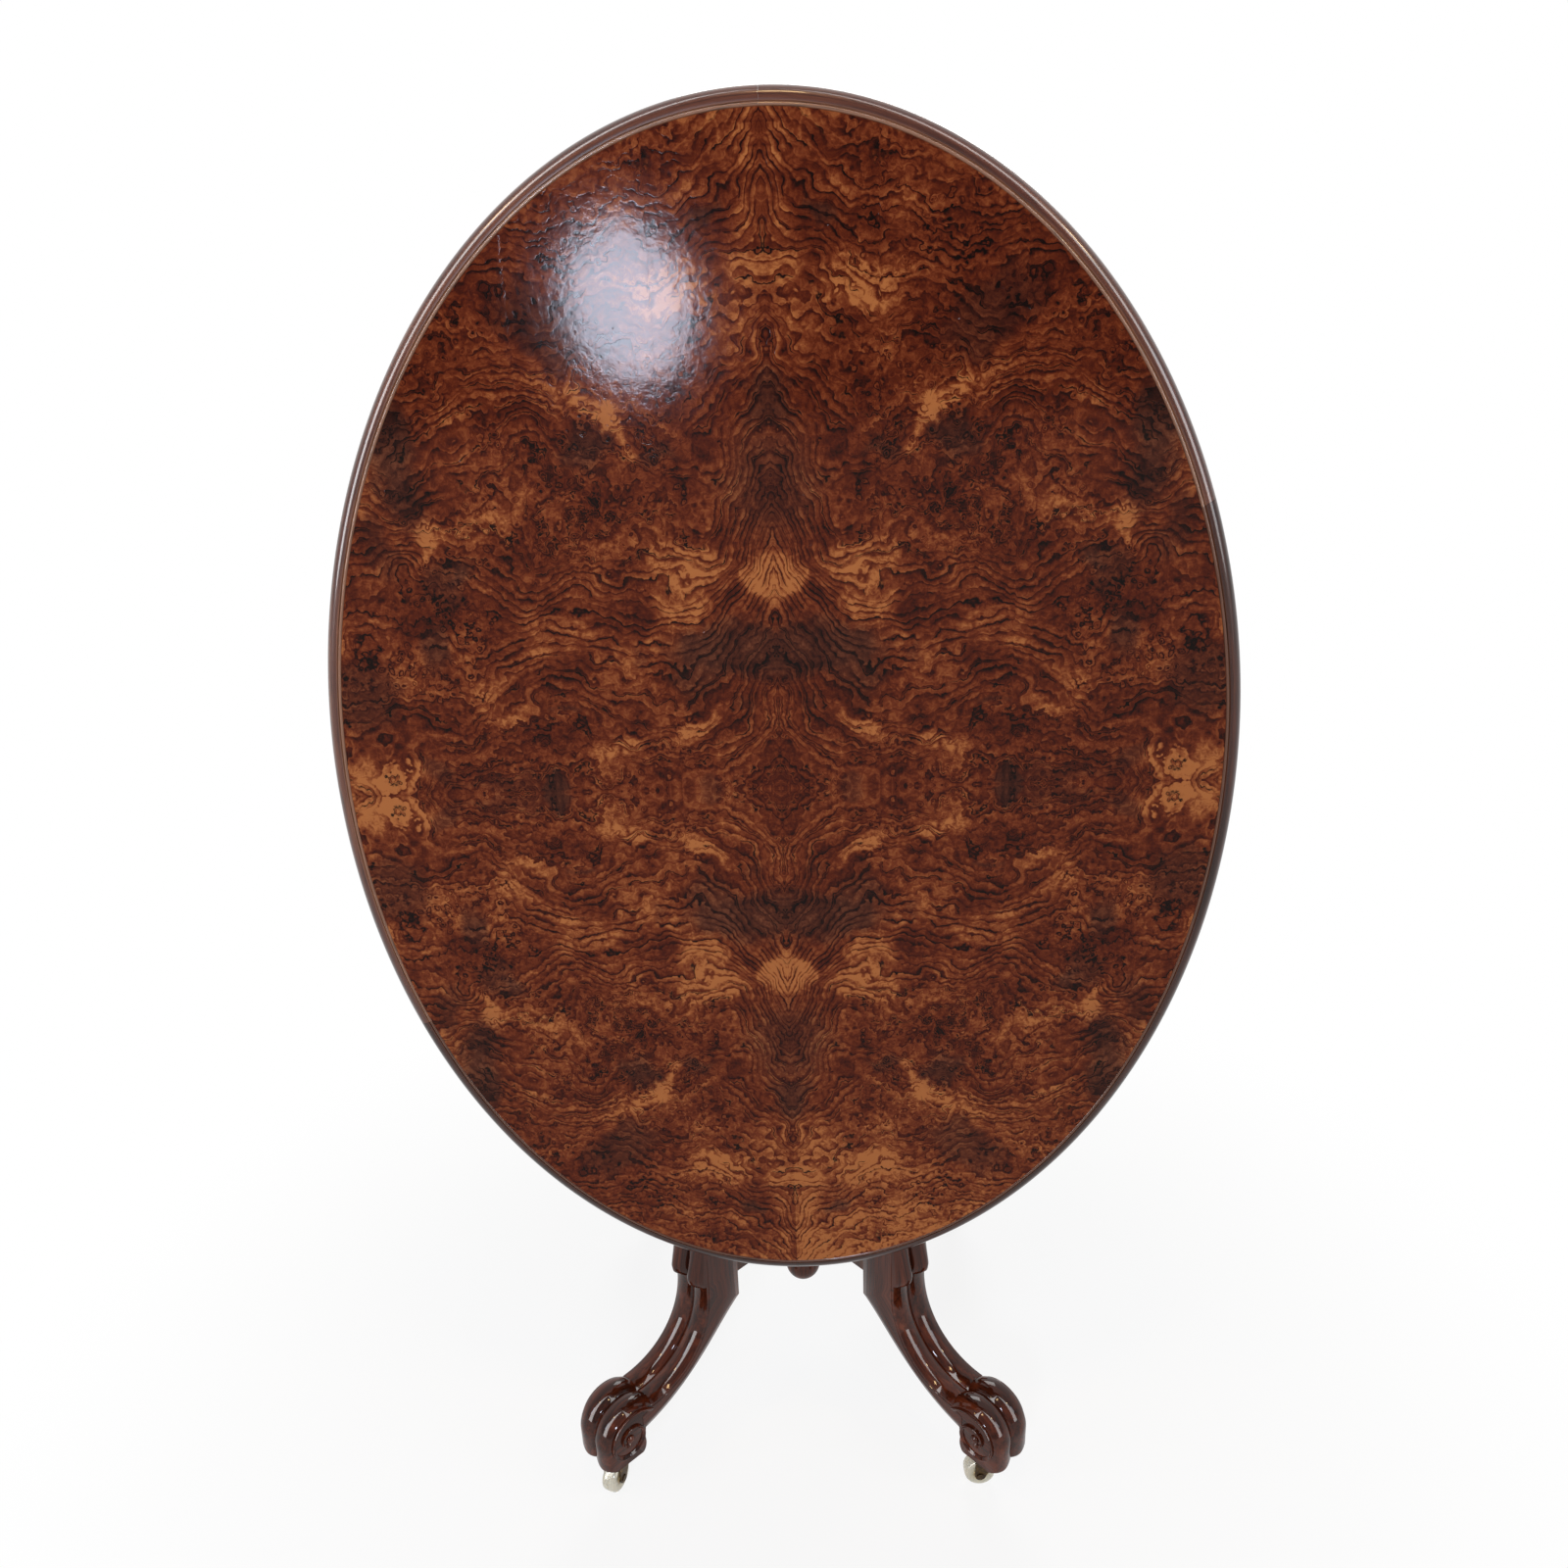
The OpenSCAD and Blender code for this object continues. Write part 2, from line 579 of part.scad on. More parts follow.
module scroll() {
    cheek = leg_hw - side_sink;
    foot = foot_z - scroll_z;
    cross = concat([[-1, -cheek], [0, 1 - cheek]],
        [for (k = [1:lobes - 1]) [rib_out * sin(180 * k / lobes), -leg_hw * (1 - k / lobes)]],
        [[-1.5, 0]],
        [for (k = [1:lobes - 1]) [rib_out * sin(180 * k / lobes), leg_hw * k / lobes]],
        [[0, cheek - 1], [-1, cheek]]);
    m = len(cross);
    rings = [for (k = [0:around - 1], q = cross)
        let (a = volute_start - 360 * k / around, r = scroll_edge(a) + q[0]) [r * cos(a), q[1], r * sin(a)]];
    points = concat(rings, [[0, -cheek, 0], [0, cheek, 0]]);
    hub = len(rings);                     // the middles of the two sides follow the rings
    walls = [for (k = [0:around - 1], j = [0:m - 2]) let (a = k * m + j, b = (k + 1) % around * m + j)
        each [[a, a + 1, b], [a + 1, b + 1, b]]];
    sides = [for (k = [0:around - 1]) let (a = k * m, b = (k + 1) % around * m)
        each [[a, b, hub], [b + m - 1, a + m - 1, hub + 1]]];
    difference() {
        polyhedron(points, concat(walls, sides), convexity = 6);
        translate([-2 * scroll_r, -leg_w, foot - scroll_r]) cube([4 * scroll_r, 2 * leg_w, scroll_r]);
        translate([0, 0, foot - 1]) cylinder(r = stem_r + fit, h = stem_l + 2);
    }
}

// The volute is a band that follows the scroll's edge from the notch and winds in round a raised eye
turns = 1.7;
per_turn = 22;
function volute_r(share) = (core - 2.5) * (1 - 0.78 * pow(share, 1.6))
    + widen(volute_start - 360 * turns * share);

module volute() {
    n = round(turns * per_turn);
    way = [for (k = [0:n]) let (a = volute_start - 360 * turns * k / n) [cos(a), sin(a)]];
    outer = [for (k = [0:n]) volute_r(k / n) * way[k]];
    inner = [for (k = [n:-1:0]) (volute_r(k / n) - volute_band * (1 - 0.45 * k / n)) * way[k]];
    translate([0, 0, -side_sink - 1]) {
        linear_extrude(volute_out + side_sink + 1) polygon(concat(outer, inner));
        cylinder(r = volute_r(1) * 0.85, h = volute_out * 1.3 + side_sink + 1, $fn = 24);
    }
}

module leg(i) {
    color([0.25, 0.13, 0.09]) at_corner(i) difference() {
        union() {
            leg_shaft();
            translate([scroll_at, 0, scroll_z]) {
                scroll();
                for (side = [0, 1]) mirror([0, side, 0])
                    translate([0, -leg_hw, 0]) rotate([90, 0, 0]) volute();
            }
        }
        translate([column_at, 0, leg_top - tenon_l - 1]) cylinder(r = tenon_r + fit, h = tenon_l + 2);
        translate([leg_in - 1, -rail_tenon_t / 2 - fit, rail_under + rail_h / 5 - fit])
            cube([rail_tenon_l + 2, rail_tenon_t + 2 * fit, rail_h * 0.6 + 2 * fit]);
    }
}

// Castors

module castor_plate(i) {
    color("darkgoldenrod") at_corner(i) translate([scroll_at, 0, 0]) {
        translate([0, 0, plate_z]) cylinder(r = plate_r, h = brass_t);
        translate([0, 0, crown_under - rest_gap]) cylinder(r = stem_r, h = foot_z + stem_l - crown_under);
        translate([0, 0, crown_under - rest_gap - 2]) cylinder(r = stem_r + 1.6, h = 2);
    }
}

module castor_fork(i) {
    cheek = 2 * (cheek_in + cheek_t);
    heel = plate_r / 2;
    eye_r = axle_r + 3.5;
    color("peru") at_castor(i) difference() {
        union() {
            translate([0, 0, crown_top - 1]) cylinder(r = plate_r - 4, h = fork_top - crown_top + 1);
            translate([-heel, -cheek / 2, crown_under])
                cube([heel + trail + eye_r, cheek, crown_top - crown_under]);
            for (s = [-1, 1]) translate([0, s * (cheek_in + cheek_t / 2) + cheek_t / 2, 0])
                rotate([90, 0, 0]) linear_extrude(cheek_t) {
                    polygon([[-heel, crown_top - 1], [2 - heel, crown_under - 4], [trail - eye_r, wheel_r],
                             [trail + eye_r, wheel_r], [trail + eye_r, crown_top - 1]]);
                    translate([trail, wheel_r]) circle(r = eye_r);
                }
        }
        translate([0, 0, crown_under - 1]) cylinder(r = stem_r + fit, h = fork_top);
        translate([trail, 0, wheel_r]) rotate([90, 0, 0])
            cylinder(r = axle_r + fit, h = cheek + 2, center = true);
    }
}

module castor_axle(i) {
    reach = cheek_in + cheek_t;
    color("goldenrod") at_castor(i) translate([trail, 0, wheel_r]) rotate([90, 0, 0]) {
        cylinder(r = axle_r, h = 2 * reach, center = true);
        for (s = [-1, 1]) translate([0, 0, s * (reach + 0.6)])
            cylinder(r = axle_r + 1.3, h = 1.2, center = true);
    }
}

// A barrel-shaped china wheel with a fine groove round its middle
module castor_wheel(i) {
    shoulder = [for (k = [0:5])
        [wheel_r - 3 + 2.6 * sin(90 * k / 5), wheel_w / 2 - 0.6 - 5 * (1 - cos(90 * k / 5))]];
    color("ivory") at_castor(i) translate([trail, 0, wheel_r]) rotate([90, 0, 0])
        rotate_extrude() polygon(concat(
            [[axle_r + fit, -wheel_w / 2], [wheel_r - 5, -wheel_w / 2]],
            [for (p = shoulder) [p[0], -p[1]]],
            [[wheel_r, -1.6], [wheel_r, -0.6], [wheel_r - 0.7, 0], [wheel_r, 0.6], [wheel_r, 1.6]],
            [for (k = [5:-1:0]) shoulder[k]],
            [[wheel_r - 5, wheel_w / 2], [axle_r + fit, wheel_w / 2]]));
}

top_board();
veneer(0);  // veneer_upper_right
veneer(1);  // veneer_upper_left
veneer(2);  // veneer_lower_left
veneer(3);  // veneer_lower_right
rim(rim_joint, steps / 4);  // rim_upper_right
rim(-rim_joint, rim_joint);  // rim_right
rim(-steps / 4, -rim_joint);  // rim_lower_right
rim(steps / 2 + rim_joint, steps * 3 / 4);  // rim_lower_left
rim(steps / 2 - rim_joint, steps / 2 + rim_joint);  // rim_left
rim(steps / 4, steps / 2 - rim_joint);  // rim_upper_left
bearer(1);  // bearer_right
bearer(-1);  // bearer_left
bearer_screws();
pivot_block();
pivot_pin(1);  // pivot_pin_right
pivot_pin(-1);  // pivot_pin_left
pivot_washers();
catch_plate();
catch_screws();
catch_pivot();
catch_lever();
catch_keeper();
keeper_screws();
column(0);  // column_front_right
column(1);  // column_front_left
column(2);  // column_back_left
column(3);  // column_back_right
cross_rail(-1);  // cross_rail_lower
cross_rail(1);  // cross_rail_upper
finial();
drop();
leg(0);  // leg_front_right
leg(1);  // leg_front_left
leg(2);  // leg_back_left
leg(3);  // leg_back_right
castor_plate(0);  // castor_plate_front_right
castor_plate(1);  // castor_plate_front_left
castor_plate(2);  // castor_plate_back_left
castor_plate(3);  // castor_plate_back_right
castor_fork(0);  // castor_fork_front_right
castor_fork(1);  // castor_fork_front_left
castor_fork(2);  // castor_fork_back_left
castor_fork(3);  // castor_fork_back_right
castor_axle(0);  // castor_axle_front_right
castor_axle(1);  // castor_axle_front_left
castor_axle(2);  // castor_axle_back_left
castor_axle(3);  // castor_axle_back_right
castor_wheel(0);  // castor_wheel_front_right
castor_wheel(1);  // castor_wheel_front_left
castor_wheel(2);  // castor_wheel_back_left
castor_wheel(3);  // castor_wheel_back_right
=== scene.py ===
from functools import partial
import bpy
import numpy as np
from mathutils import Matrix, Vector


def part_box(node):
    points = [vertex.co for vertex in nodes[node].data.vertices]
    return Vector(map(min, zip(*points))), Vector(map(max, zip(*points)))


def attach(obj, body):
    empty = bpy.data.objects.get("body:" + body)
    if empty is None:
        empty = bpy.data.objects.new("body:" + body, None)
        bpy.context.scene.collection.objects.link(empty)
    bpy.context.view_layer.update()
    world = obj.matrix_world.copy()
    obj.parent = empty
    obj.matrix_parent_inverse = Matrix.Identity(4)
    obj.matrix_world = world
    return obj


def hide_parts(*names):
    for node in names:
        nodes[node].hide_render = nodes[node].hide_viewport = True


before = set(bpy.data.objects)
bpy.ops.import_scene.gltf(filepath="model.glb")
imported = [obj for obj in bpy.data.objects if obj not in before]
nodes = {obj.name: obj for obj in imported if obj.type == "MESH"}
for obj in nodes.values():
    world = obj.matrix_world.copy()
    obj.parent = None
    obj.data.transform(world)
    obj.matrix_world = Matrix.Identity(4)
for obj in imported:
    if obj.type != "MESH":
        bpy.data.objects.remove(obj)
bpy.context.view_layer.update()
mm = 0.001
smooth = {"interpolation_type": "SMOOTHSTEP"}     # eases a Map Range node at both ends
print("frame loaded:", len(nodes), "CAD nodes")


def toLinear(hexText):
    # sRGB hex to linear RGBA
    c = np.array([int(hexText[i:i + 2], 16) for i in (1, 3, 5)]) / 255
    return (*np.where(c <= 0.04045, c / 12.92, ((c + 0.055) / 1.055) ** 2.4), 1.0)


def setParts(node, parts):
    # a part is a property of the node, the value of an input, or a link to an input, which comes
    # from a socket or from the first output of a node
    for key, part in parts.items():
        source = part.outputs[0] if isinstance(part, bpy.types.Node) else part
        if isinstance(source, bpy.types.NodeSocket):
            node.id_data.links.new(source, node.inputs[key])
        elif isinstance(key, str) and hasattr(node, key):
            setattr(node, key, part)
        else:
            node.inputs[key].default_value = part


def addNode(tree, kind, parts=None):
    # a shader node with its settings and links; its kind may name an operation too
    kind, _, operation = kind.partition(" ")
    node = tree.nodes.new("ShaderNode" + kind)
    if operation:
        node.operation = operation
    setParts(node, parts or {})
    return node


def newMaterial(name, finish):
    # a material, what adds nodes to it, and its shader; finish holds constants of the shader
    material = bpy.data.materials.new(name)
    material.use_nodes = True
    shader = material.node_tree.nodes["Principled BSDF"]
    setParts(shader, finish)
    return material, partial(addNode, material.node_tree), shader


def setStops(ramp, places, colours):
    # places of a colour ramp in order, and their hex colours in a line of text
    line = ramp.color_ramp
    while len(line.elements) < len(places):
        line.elements.new(0.5)
    for element, place, colour in zip(line.elements, places, colours.split()):
        element.position = place
        element.color = toLinear(colour)
    return ramp


def quadsOf(rows, columns, closeRows=False, closeColumns=False):
    # the quads between neighbours of a grid whose points are numbered row by row
    r = np.arange(rows if closeRows else rows - 1)[:, None]
    c = np.arange(columns if closeColumns else columns - 1)[None, :]
    rNext, cNext = (r + 1) % rows, (c + 1) % columns
    return np.stack([r * columns + c, r * columns + cNext,
                     rNext * columns + cNext, rNext * columns + c], -1).reshape(-1, 4)


def sweptShell(points):
    # a closed shell: a grid of sections, each a closed line, with a flat cap on each end
    rows, columns = points.shape[:2]
    caps = [list(range(columns)), list(range((rows - 1) * columns, rows * columns))[::-1]]
    return points.reshape(-1, 3), quadsOf(rows, columns, closeColumns=True)[:, ::-1].tolist() + caps


def turnedShell(profile, around):
    # each [radius, height] of the profile is carried round Z; ends at radius 0 close in a point,
    # and a profile that keeps off the axis closes on itself as a ring
    profile, onAxis = np.asarray(profile, float), 1e-7
    turn = np.linspace(0, 2 * np.pi, around, endpoint=False)
    body = profile[profile[:, 0] > onAxis]
    rings = np.stack([body[:, :1] * np.cos(turn), body[:, :1] * np.sin(turn),
                      np.repeat(body[:, 1:], around, 1)], -1)
    points = [rings.reshape(-1, 3)]
    faces = quadsOf(len(body), around, len(body) == len(profile), True).tolist()
    count = len(body) * around
    for end, first in ((0, 0), (-1, count - around)):
        if profile[end, 0] <= onAxis:
            points.append([[0, 0, profile[end, 1]]])
            ring = first + np.arange(around)
            fan = np.stack([np.full(around, count), np.roll(ring, -1), ring], -1)
            faces += (fan if end == 0 else fan[:, ::-1]).tolist()
            count += 1
    return np.vstack(points), faces


def outward(points, faces):
    # turns the faces of a closed shell round if its volume comes out negative
    volume = 0.0
    for size in set(map(len, faces)):
        block = points[np.array([f for f in faces if len(f) == size])]
        for k in range(1, size - 1):
            volume += np.einsum("ij,ij->i", block[:, 0], np.cross(block[:, k], block[:, k + 1])).sum()
    return faces if volume > 0 else [f[::-1] for f in faces]


def newObject(name, data):
    # an object in the scene
    thing = bpy.data.objects.new(name, data)
    bpy.context.scene.collection.objects.link(thing)
    return thing


def addPiece(name, body, points, faces, attributes, material, stands, sharp):
    # one object that rides on its CAD body and stands for CAD nodes; points are in mm, attributes
    # are vectors per point, and edges are sharp where faces meet at more than sharp degrees
    mesh = bpy.data.meshes.new(name)
    mesh.from_pydata((points * mm).tolist(), [], outward(points, faces))
    mesh.shade_smooth()
    mesh.set_sharp_from_angle(angle=np.radians(sharp))
    for label, values in attributes.items():
        layer = mesh.attributes.new(label, "FLOAT_VECTOR", "POINT")
        layer.data.foreach_set("vector", np.asarray(values, np.float32).ravel())
    mesh.materials.append(material)
    piece = newObject(name, mesh)
    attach(piece, body)
    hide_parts(*stands)


def joined(shells):
    # several closed shells of (points, faces) as one set of points and faces, each facing outwards
    points, faces, count = [], [], 0
    for p, f in shells:
        points.append(p)
        faces += [[i + count for i in face] for face in outward(p, f)]
        count += len(p)
    return np.vstack(points), faces


def lengthAlong(x, y):
    # distance along a line of points from its start
    return np.concatenate([[0], np.cumsum(np.hypot(np.diff(x), np.diff(y)))])


def boxOf(name):
    # the low and the high corner of a CAD node, in mm
    return [np.array(corner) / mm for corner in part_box(name)]


def cloudField(x, z, size, seed, octaves):
    # values on a random lattice, blended by a smooth step, with each octave half as large and strong
    total, weight, reach, cells = 0.0, 0.0, 1.0, 64
    for octave in range(octaves):
        lattice = np.random.default_rng(seed + octave).uniform(-1, 1, (cells, cells))
        u, v = x / size * 2 ** octave + 17.3, z / size * 2 ** octave + 9.1
        i, j = np.floor(u).astype(int), np.floor(v).astype(int)
        a, b = u - i, v - j
        a, b = a * a * a * (a * (a * 6 - 15) + 10), b * b * b * (b * (b * 6 - 15) + 10)
        i, j, iNext, jNext = i % cells, j % cells, (i + 1) % cells, (j + 1) % cells
        total = total + reach * ((lattice[i, j] * (1 - a) + lattice[iNext, j] * a) * (1 - b)
                                 + (lattice[i, jNext] * (1 - a) + lattice[iNext, jNext] * a) * b)
        weight += reach
        reach *= 0.5
    return total / weight


# sizes of the figure in mm: cells of eyes and how they are bent, hills at the eyes, wander and crinkle
# of the lines, spacings of growth lines, bold lines and fibres, and sizes of noise; then tones, and
# ramps as places and colours
burr = {"eyes": 9.5, "bend": 10, "bendBy": 8, "hill": 9, "wander": 24, "wanderBy": 34, "crinkle": 6.5,
        "crinkleBy": 15, "lines": 12, "bold": 25, "fibres": 1.5, "drawn": 12, "mottle": 6, "patches": 21,
        "clouds": 48, "pits": 24, "waves": 9, "light": 0.63, "marks": 0.46, "eyeDark": 0.22,
        "wood": ((0, 0.2, 0.4, 0.55, 0.7, 0.85, 1),
                 "#100401 #2e0c04 #481607 #5a210b #703116 #894824 #aa6636"),
        "smoke": ((0.1, 0.4, 0.7, 1), "#0e0402 #2c1009 #4a2315 #6a3a26"), "ink": "#0a0301"}


def burrWalnut():
    # book-matched burr walnut veneer under an old French polish. The attribute figure holds a height
    # in mm whose level lines the grain follows, the tone and the share of burr; leaf holds the place
    # on the leaf in mm and the share of grey-brown heartwood
    material, add, shader = newMaterial("burrWalnutPolished", {
        "Roughness": 0.4, "IOR": 1.5, "Specular IOR Level": 0.0,
        "Coat Weight": 0.22, "Coat Roughness": 0.09, "Coat IOR": 1.5})
    figure = add("Attribute", {"attribute_name": "figure"}).outputs["Vector"]
    leaf = add("Attribute", {"attribute_name": "leaf"}).outputs["Vector"]
    height, tone, share = add("SeparateXYZ", {0: figure}).outputs
    across, up, heartwood = add("SeparateXYZ", {0: leaf}).outputs
    place = add("CombineXYZ", {0: across, 1: up})

    # eyes of the burr: cells bent so that none is round, each a small hill that the lines run round
    bend = add("TexNoise", {"Scale": 1 / burr["bend"], "Detail": 2, "Vector": place})
    bent = add("VectorMath MULTIPLY_ADD", {0: bend.outputs["Color"], 2: place,
                                           1: (burr["bendBy"], burr["bendBy"], 0)})
    cells = add("TexVoronoi", {"feature": "F1", "Scale": 1 / burr["eyes"], "Vector": bent})
    hill = add("MapRange", {**smooth, "From Min": 0.5, "From Max": 0.05, "To Max": burr["hill"],
                            "Value": cells})
    crinkle = add("TexNoise", {"Scale": 1 / burr["crinkle"], "Detail": 2, "Roughness": 0.5,
                               "Vector": place})
    rough = add("Math MULTIPLY_ADD", {0: crinkle, 1: burr["crinkleBy"], 2: hill})
    wander = add("TexNoise", {"Scale": 1 / burr["wander"], "Detail": 3, "Roughness": 0.55,
                              "Vector": place})
    level = add("Math MULTIPLY_ADD", {0: wander, 1: burr["wanderBy"], 2: height})
    level = add("Math MULTIPLY_ADD", {0: rough, 1: share, 2: level})

    # growth lines: each darkens slowly across its width and ends in a crisp edge
    count = add("Math MULTIPLY", {0: level, 1: 1 / burr["lines"]})
    saw = add("Math FRACT", {0: count})
    rise = add("MapRange", {**smooth, "From Min": 0.45, "From Max": 0.93, "Value": saw})
    fall = add("MapRange", {"From Min": 0.95, "From Max": 1.0, "To Min": 1.0, "To Max": 0.0,
                            "Value": saw})
    grown = add("Math MULTIPLY", {0: rise, 1: fall})
    patches = add("TexNoise", {"Scale": 1 / burr["patches"], "Detail": 3, "Vector": place})
    depth = add("MapRange", {**smooth, "From Min": 0.36, "From Max": 0.64, "To Min": -0.14,
                             "To Max": -0.5, "Value": patches})
    light = add("Math MULTIPLY", {0: grown, 1: depth})

    # mottle, fibres, broad bands and clouds, as (noise, its place, the range that counts, how far the
    # tone swings, its middle); the noise of fibres and bands is drawn out along the lines
    fibre = add("Math MULTIPLY", {0: level, 1: 1 / burr["fibres"]})
    slow = add("VectorMath SCALE", {0: place, "Scale": 1 / burr["drawn"]})
    slowPart = add("SeparateXYZ", {0: slow})
    along = add("CombineXYZ", {0: fibre, 1: slowPart.outputs[0], 2: slowPart.outputs[1]})
    eased, even = {**smooth, "From Min": 0.34, "From Max": 0.66}, {"From Min": 0.3, "From Max": 0.7}
    for noise, spot, span, swing, middle in (
            ({"Scale": 1 / burr["mottle"], "Detail": 4, "Roughness": 0.65, "Distortion": 0.9},
             place, eased, 0.12, 0),
            ({"Scale": 1.0, "Detail": 2, "Roughness": 0.6}, along, even, 0.07, 0),
            ({"Scale": 0.12, "Detail": 3, "Roughness": 0.6}, along, eased, 0.1, 0),
            ({"Scale": 1 / burr["clouds"], "Detail": 4, "Roughness": 0.6}, place, even, 0.18,
             burr["light"])):
        drift = add("TexNoise", {**noise, "Vector": spot})
        tint = add("MapRange", {**span, "To Min": middle - swing, "To Max": middle + swing,
                                "Value": drift})
        light = add("Math ADD", {0: light, 1: tint})
    light = add("Math MULTIPLY_ADD", {0: tone, 1: burr["marks"], 2: light})

    # where there is burr, the heart of each eye is dark and a thin dark ring runs round it
    pip = setStops(add("ValToRGB", {0: cells}), (0.08, 0.14, 0.23, 0.27, 0.32),
                   "#ffffff #000000 #000000 #ffffff #000000")
    marked = add("Math MULTIPLY", {0: share, 1: share})
    marked = add("Math MULTIPLY", {0: marked, 1: -burr["eyeDark"]})
    light = add("Math MULTIPLY_ADD", {"use_clamp": True, 0: pip, 1: marked, 2: light})
    wood = setStops(add("ValToRGB", {0: light}), *burr["wood"])

    # heartwood is grey-brown and still shows the lines
    smoke = setStops(add("ValToRGB", {0: light}), *burr["smoke"])
    greyed = add("MapRange", {"To Max": 0.92, "Value": heartwood})
    smoked = add("Mix", {"data_type": "RGBA", 0: greyed, 6: wood, 7: smoke})

    # bold lines: thin, nearly black, about half as many as the growth lines, broken up
    boldCount = add("Math MULTIPLY", {0: level, 1: 1 / burr["bold"]})
    boldSaw = add("Math FRACT", {0: boldCount})
    inked = add("MapRange", {**smooth, "From Min": 0.915, "From Max": 0.97, "To Max": 0.97,
                             "Value": boldSaw})
    broken = add("MapRange", {**smooth, "From Min": 0.4, "From Max": 0.49, "Value": patches})
    ink = add("Math MULTIPLY", {0: inked, 1: broken})
    colour = add("Mix", {"data_type": "RGBA", 0: ink, 6: smoked.outputs[2], 7: toLinear(burr["ink"])})

    # the old polish has sunk a little into the figure and bears small pits
    pits = add("TexVoronoi", {"Scale": 1 / burr["pits"], "Vector": place})
    pit = add("MapRange", {"From Min": 0.02, "From Max": 0.05, "Value": pits})
    sunk = add("Math MULTIPLY_ADD", {0: light, 1: 0.14, 2: pit})
    waves = add("TexNoise", {"Scale": 1 / burr["waves"], "Detail": 3, "Vector": place})
    relief = add("Math MULTIPLY_ADD", {0: waves, 1: 0.5, 2: sunk})
    bump = add("Bump", {"Strength": 0.4, "Distance": 0.0004, "Height": relief})
    setParts(shader, {"Base Color": colour.outputs[2], "Normal": bump, "Coat Normal": bump})
    return material


def plainWood(name, colours, shine, places=(0, 0.4, 0.7, 1), acrossMm=2.4, alongMm=60, axis=0,
              own=True, wearAndHighlight=None):
    # straight-grained wood: streaks are long along the grain, with pores as short dark dashes. Shine
    # is roughness, specular level and, on polished wood, the weight and roughness of the coat.
    # Own pieces carry the grain's place in mm as [along, round, depth]. A pale band can lie over the
    # second of these, worn polish and painted highlight in one, given as (middle, half-width, colour,
    # share)
    material, add, shader = newMaterial(name, dict(zip(
        ("Roughness", "Specular IOR Level", "Coat Weight", "Coat Roughness"), shine)))
    if own:
        source, per = add("Attribute", {"attribute_name": "grain"}).outputs["Vector"], 1
    else:
        source, per = add("TexCoord").outputs["Object"], 1000
    scale = [per / acrossMm] * 3
    scale[axis] = per / alongMm
    grain = add("Mapping", {"vector_type": "POINT", "Scale": scale, "Vector": source})
    streak = add("TexNoise", {"Scale": 0.35, "Detail": 4, "Roughness": 0.62, "Distortion": 0.4,
                              "Vector": grain})
    broad = add("TexNoise", {"Scale": 0.05, "Detail": 2, "Vector": grain})
    pore = add("TexNoise", {"Scale": 1.6, "Detail": 1, "Vector": grain})
    both = add("Math MULTIPLY_ADD", {0: broad, 1: 0.55, 2: streak})
    level = add("MapRange", {"From Min": 0.5, "From Max": 1.05, "Value": both})
    last = setStops(add("ValToRGB", {0: level}), places, colours).outputs[0]
    # a paler band along the bead: worn polish and a painted highlight
    if wearAndHighlight:
        middle, halfWidth, colour, share = wearAndHighlight
        part = add("SeparateXYZ", {0: source})
        off = add("Math SUBTRACT", {0: part.outputs[1], 1: middle})
        away = add("Math ABSOLUTE", {0: off})
        near = add("MapRange", {**smooth, "From Min": halfWidth, "From Max": halfWidth * 0.4,
                                "To Max": share, "Value": away})
        last = add("Mix", {"data_type": "RGBA", 0: near, 6: last, 7: toLinear(colour)}).outputs[2]
    poreTone = add("MapRange", {"From Min": 0.34, "From Max": 0.42, "To Min": 0.55, "To Max": 1.0,
                                "Value": pore})
    tint = add("VectorMath SCALE", {0: last, "Scale": poreTone})
    bump = add("Bump", {"Strength": 0.2, "Distance": 0.0003, "Height": streak})
    setParts(shader, {"Base Color": tint, "Normal": bump})
    return material


def castMetal(name, colours, finish, places=(0.3, 0.55, 0.8), blotchMm=9, gritMm=1.5):
    # cast or turned metal: colour and gloss drift with tarnish and handling
    material, add, shader = newMaterial(name, finish)
    source = add("TexCoord").outputs["Object"]
    blotch = add("TexNoise", {"Scale": 1000 / blotchMm, "Detail": 5, "Roughness": 0.65, "Vector": source})
    tone = setStops(add("ValToRGB", {0: blotch}), places, colours)
    rough = add("MapRange", {"From Min": 0.3, "From Max": 0.7, "To Min": finish["Roughness"],
                             "To Max": finish["Roughness"] + 0.2, "Value": blotch})
    grit = add("TexNoise", {"Scale": 1000 / gritMm, "Detail": 2, "Vector": source})
    bump = add("Bump", {"Strength": 0.2, "Distance": 0.0002, "Height": grit})
    setParts(shader, {"Base Color": tone, "Roughness": rough, "Normal": bump})
    return material


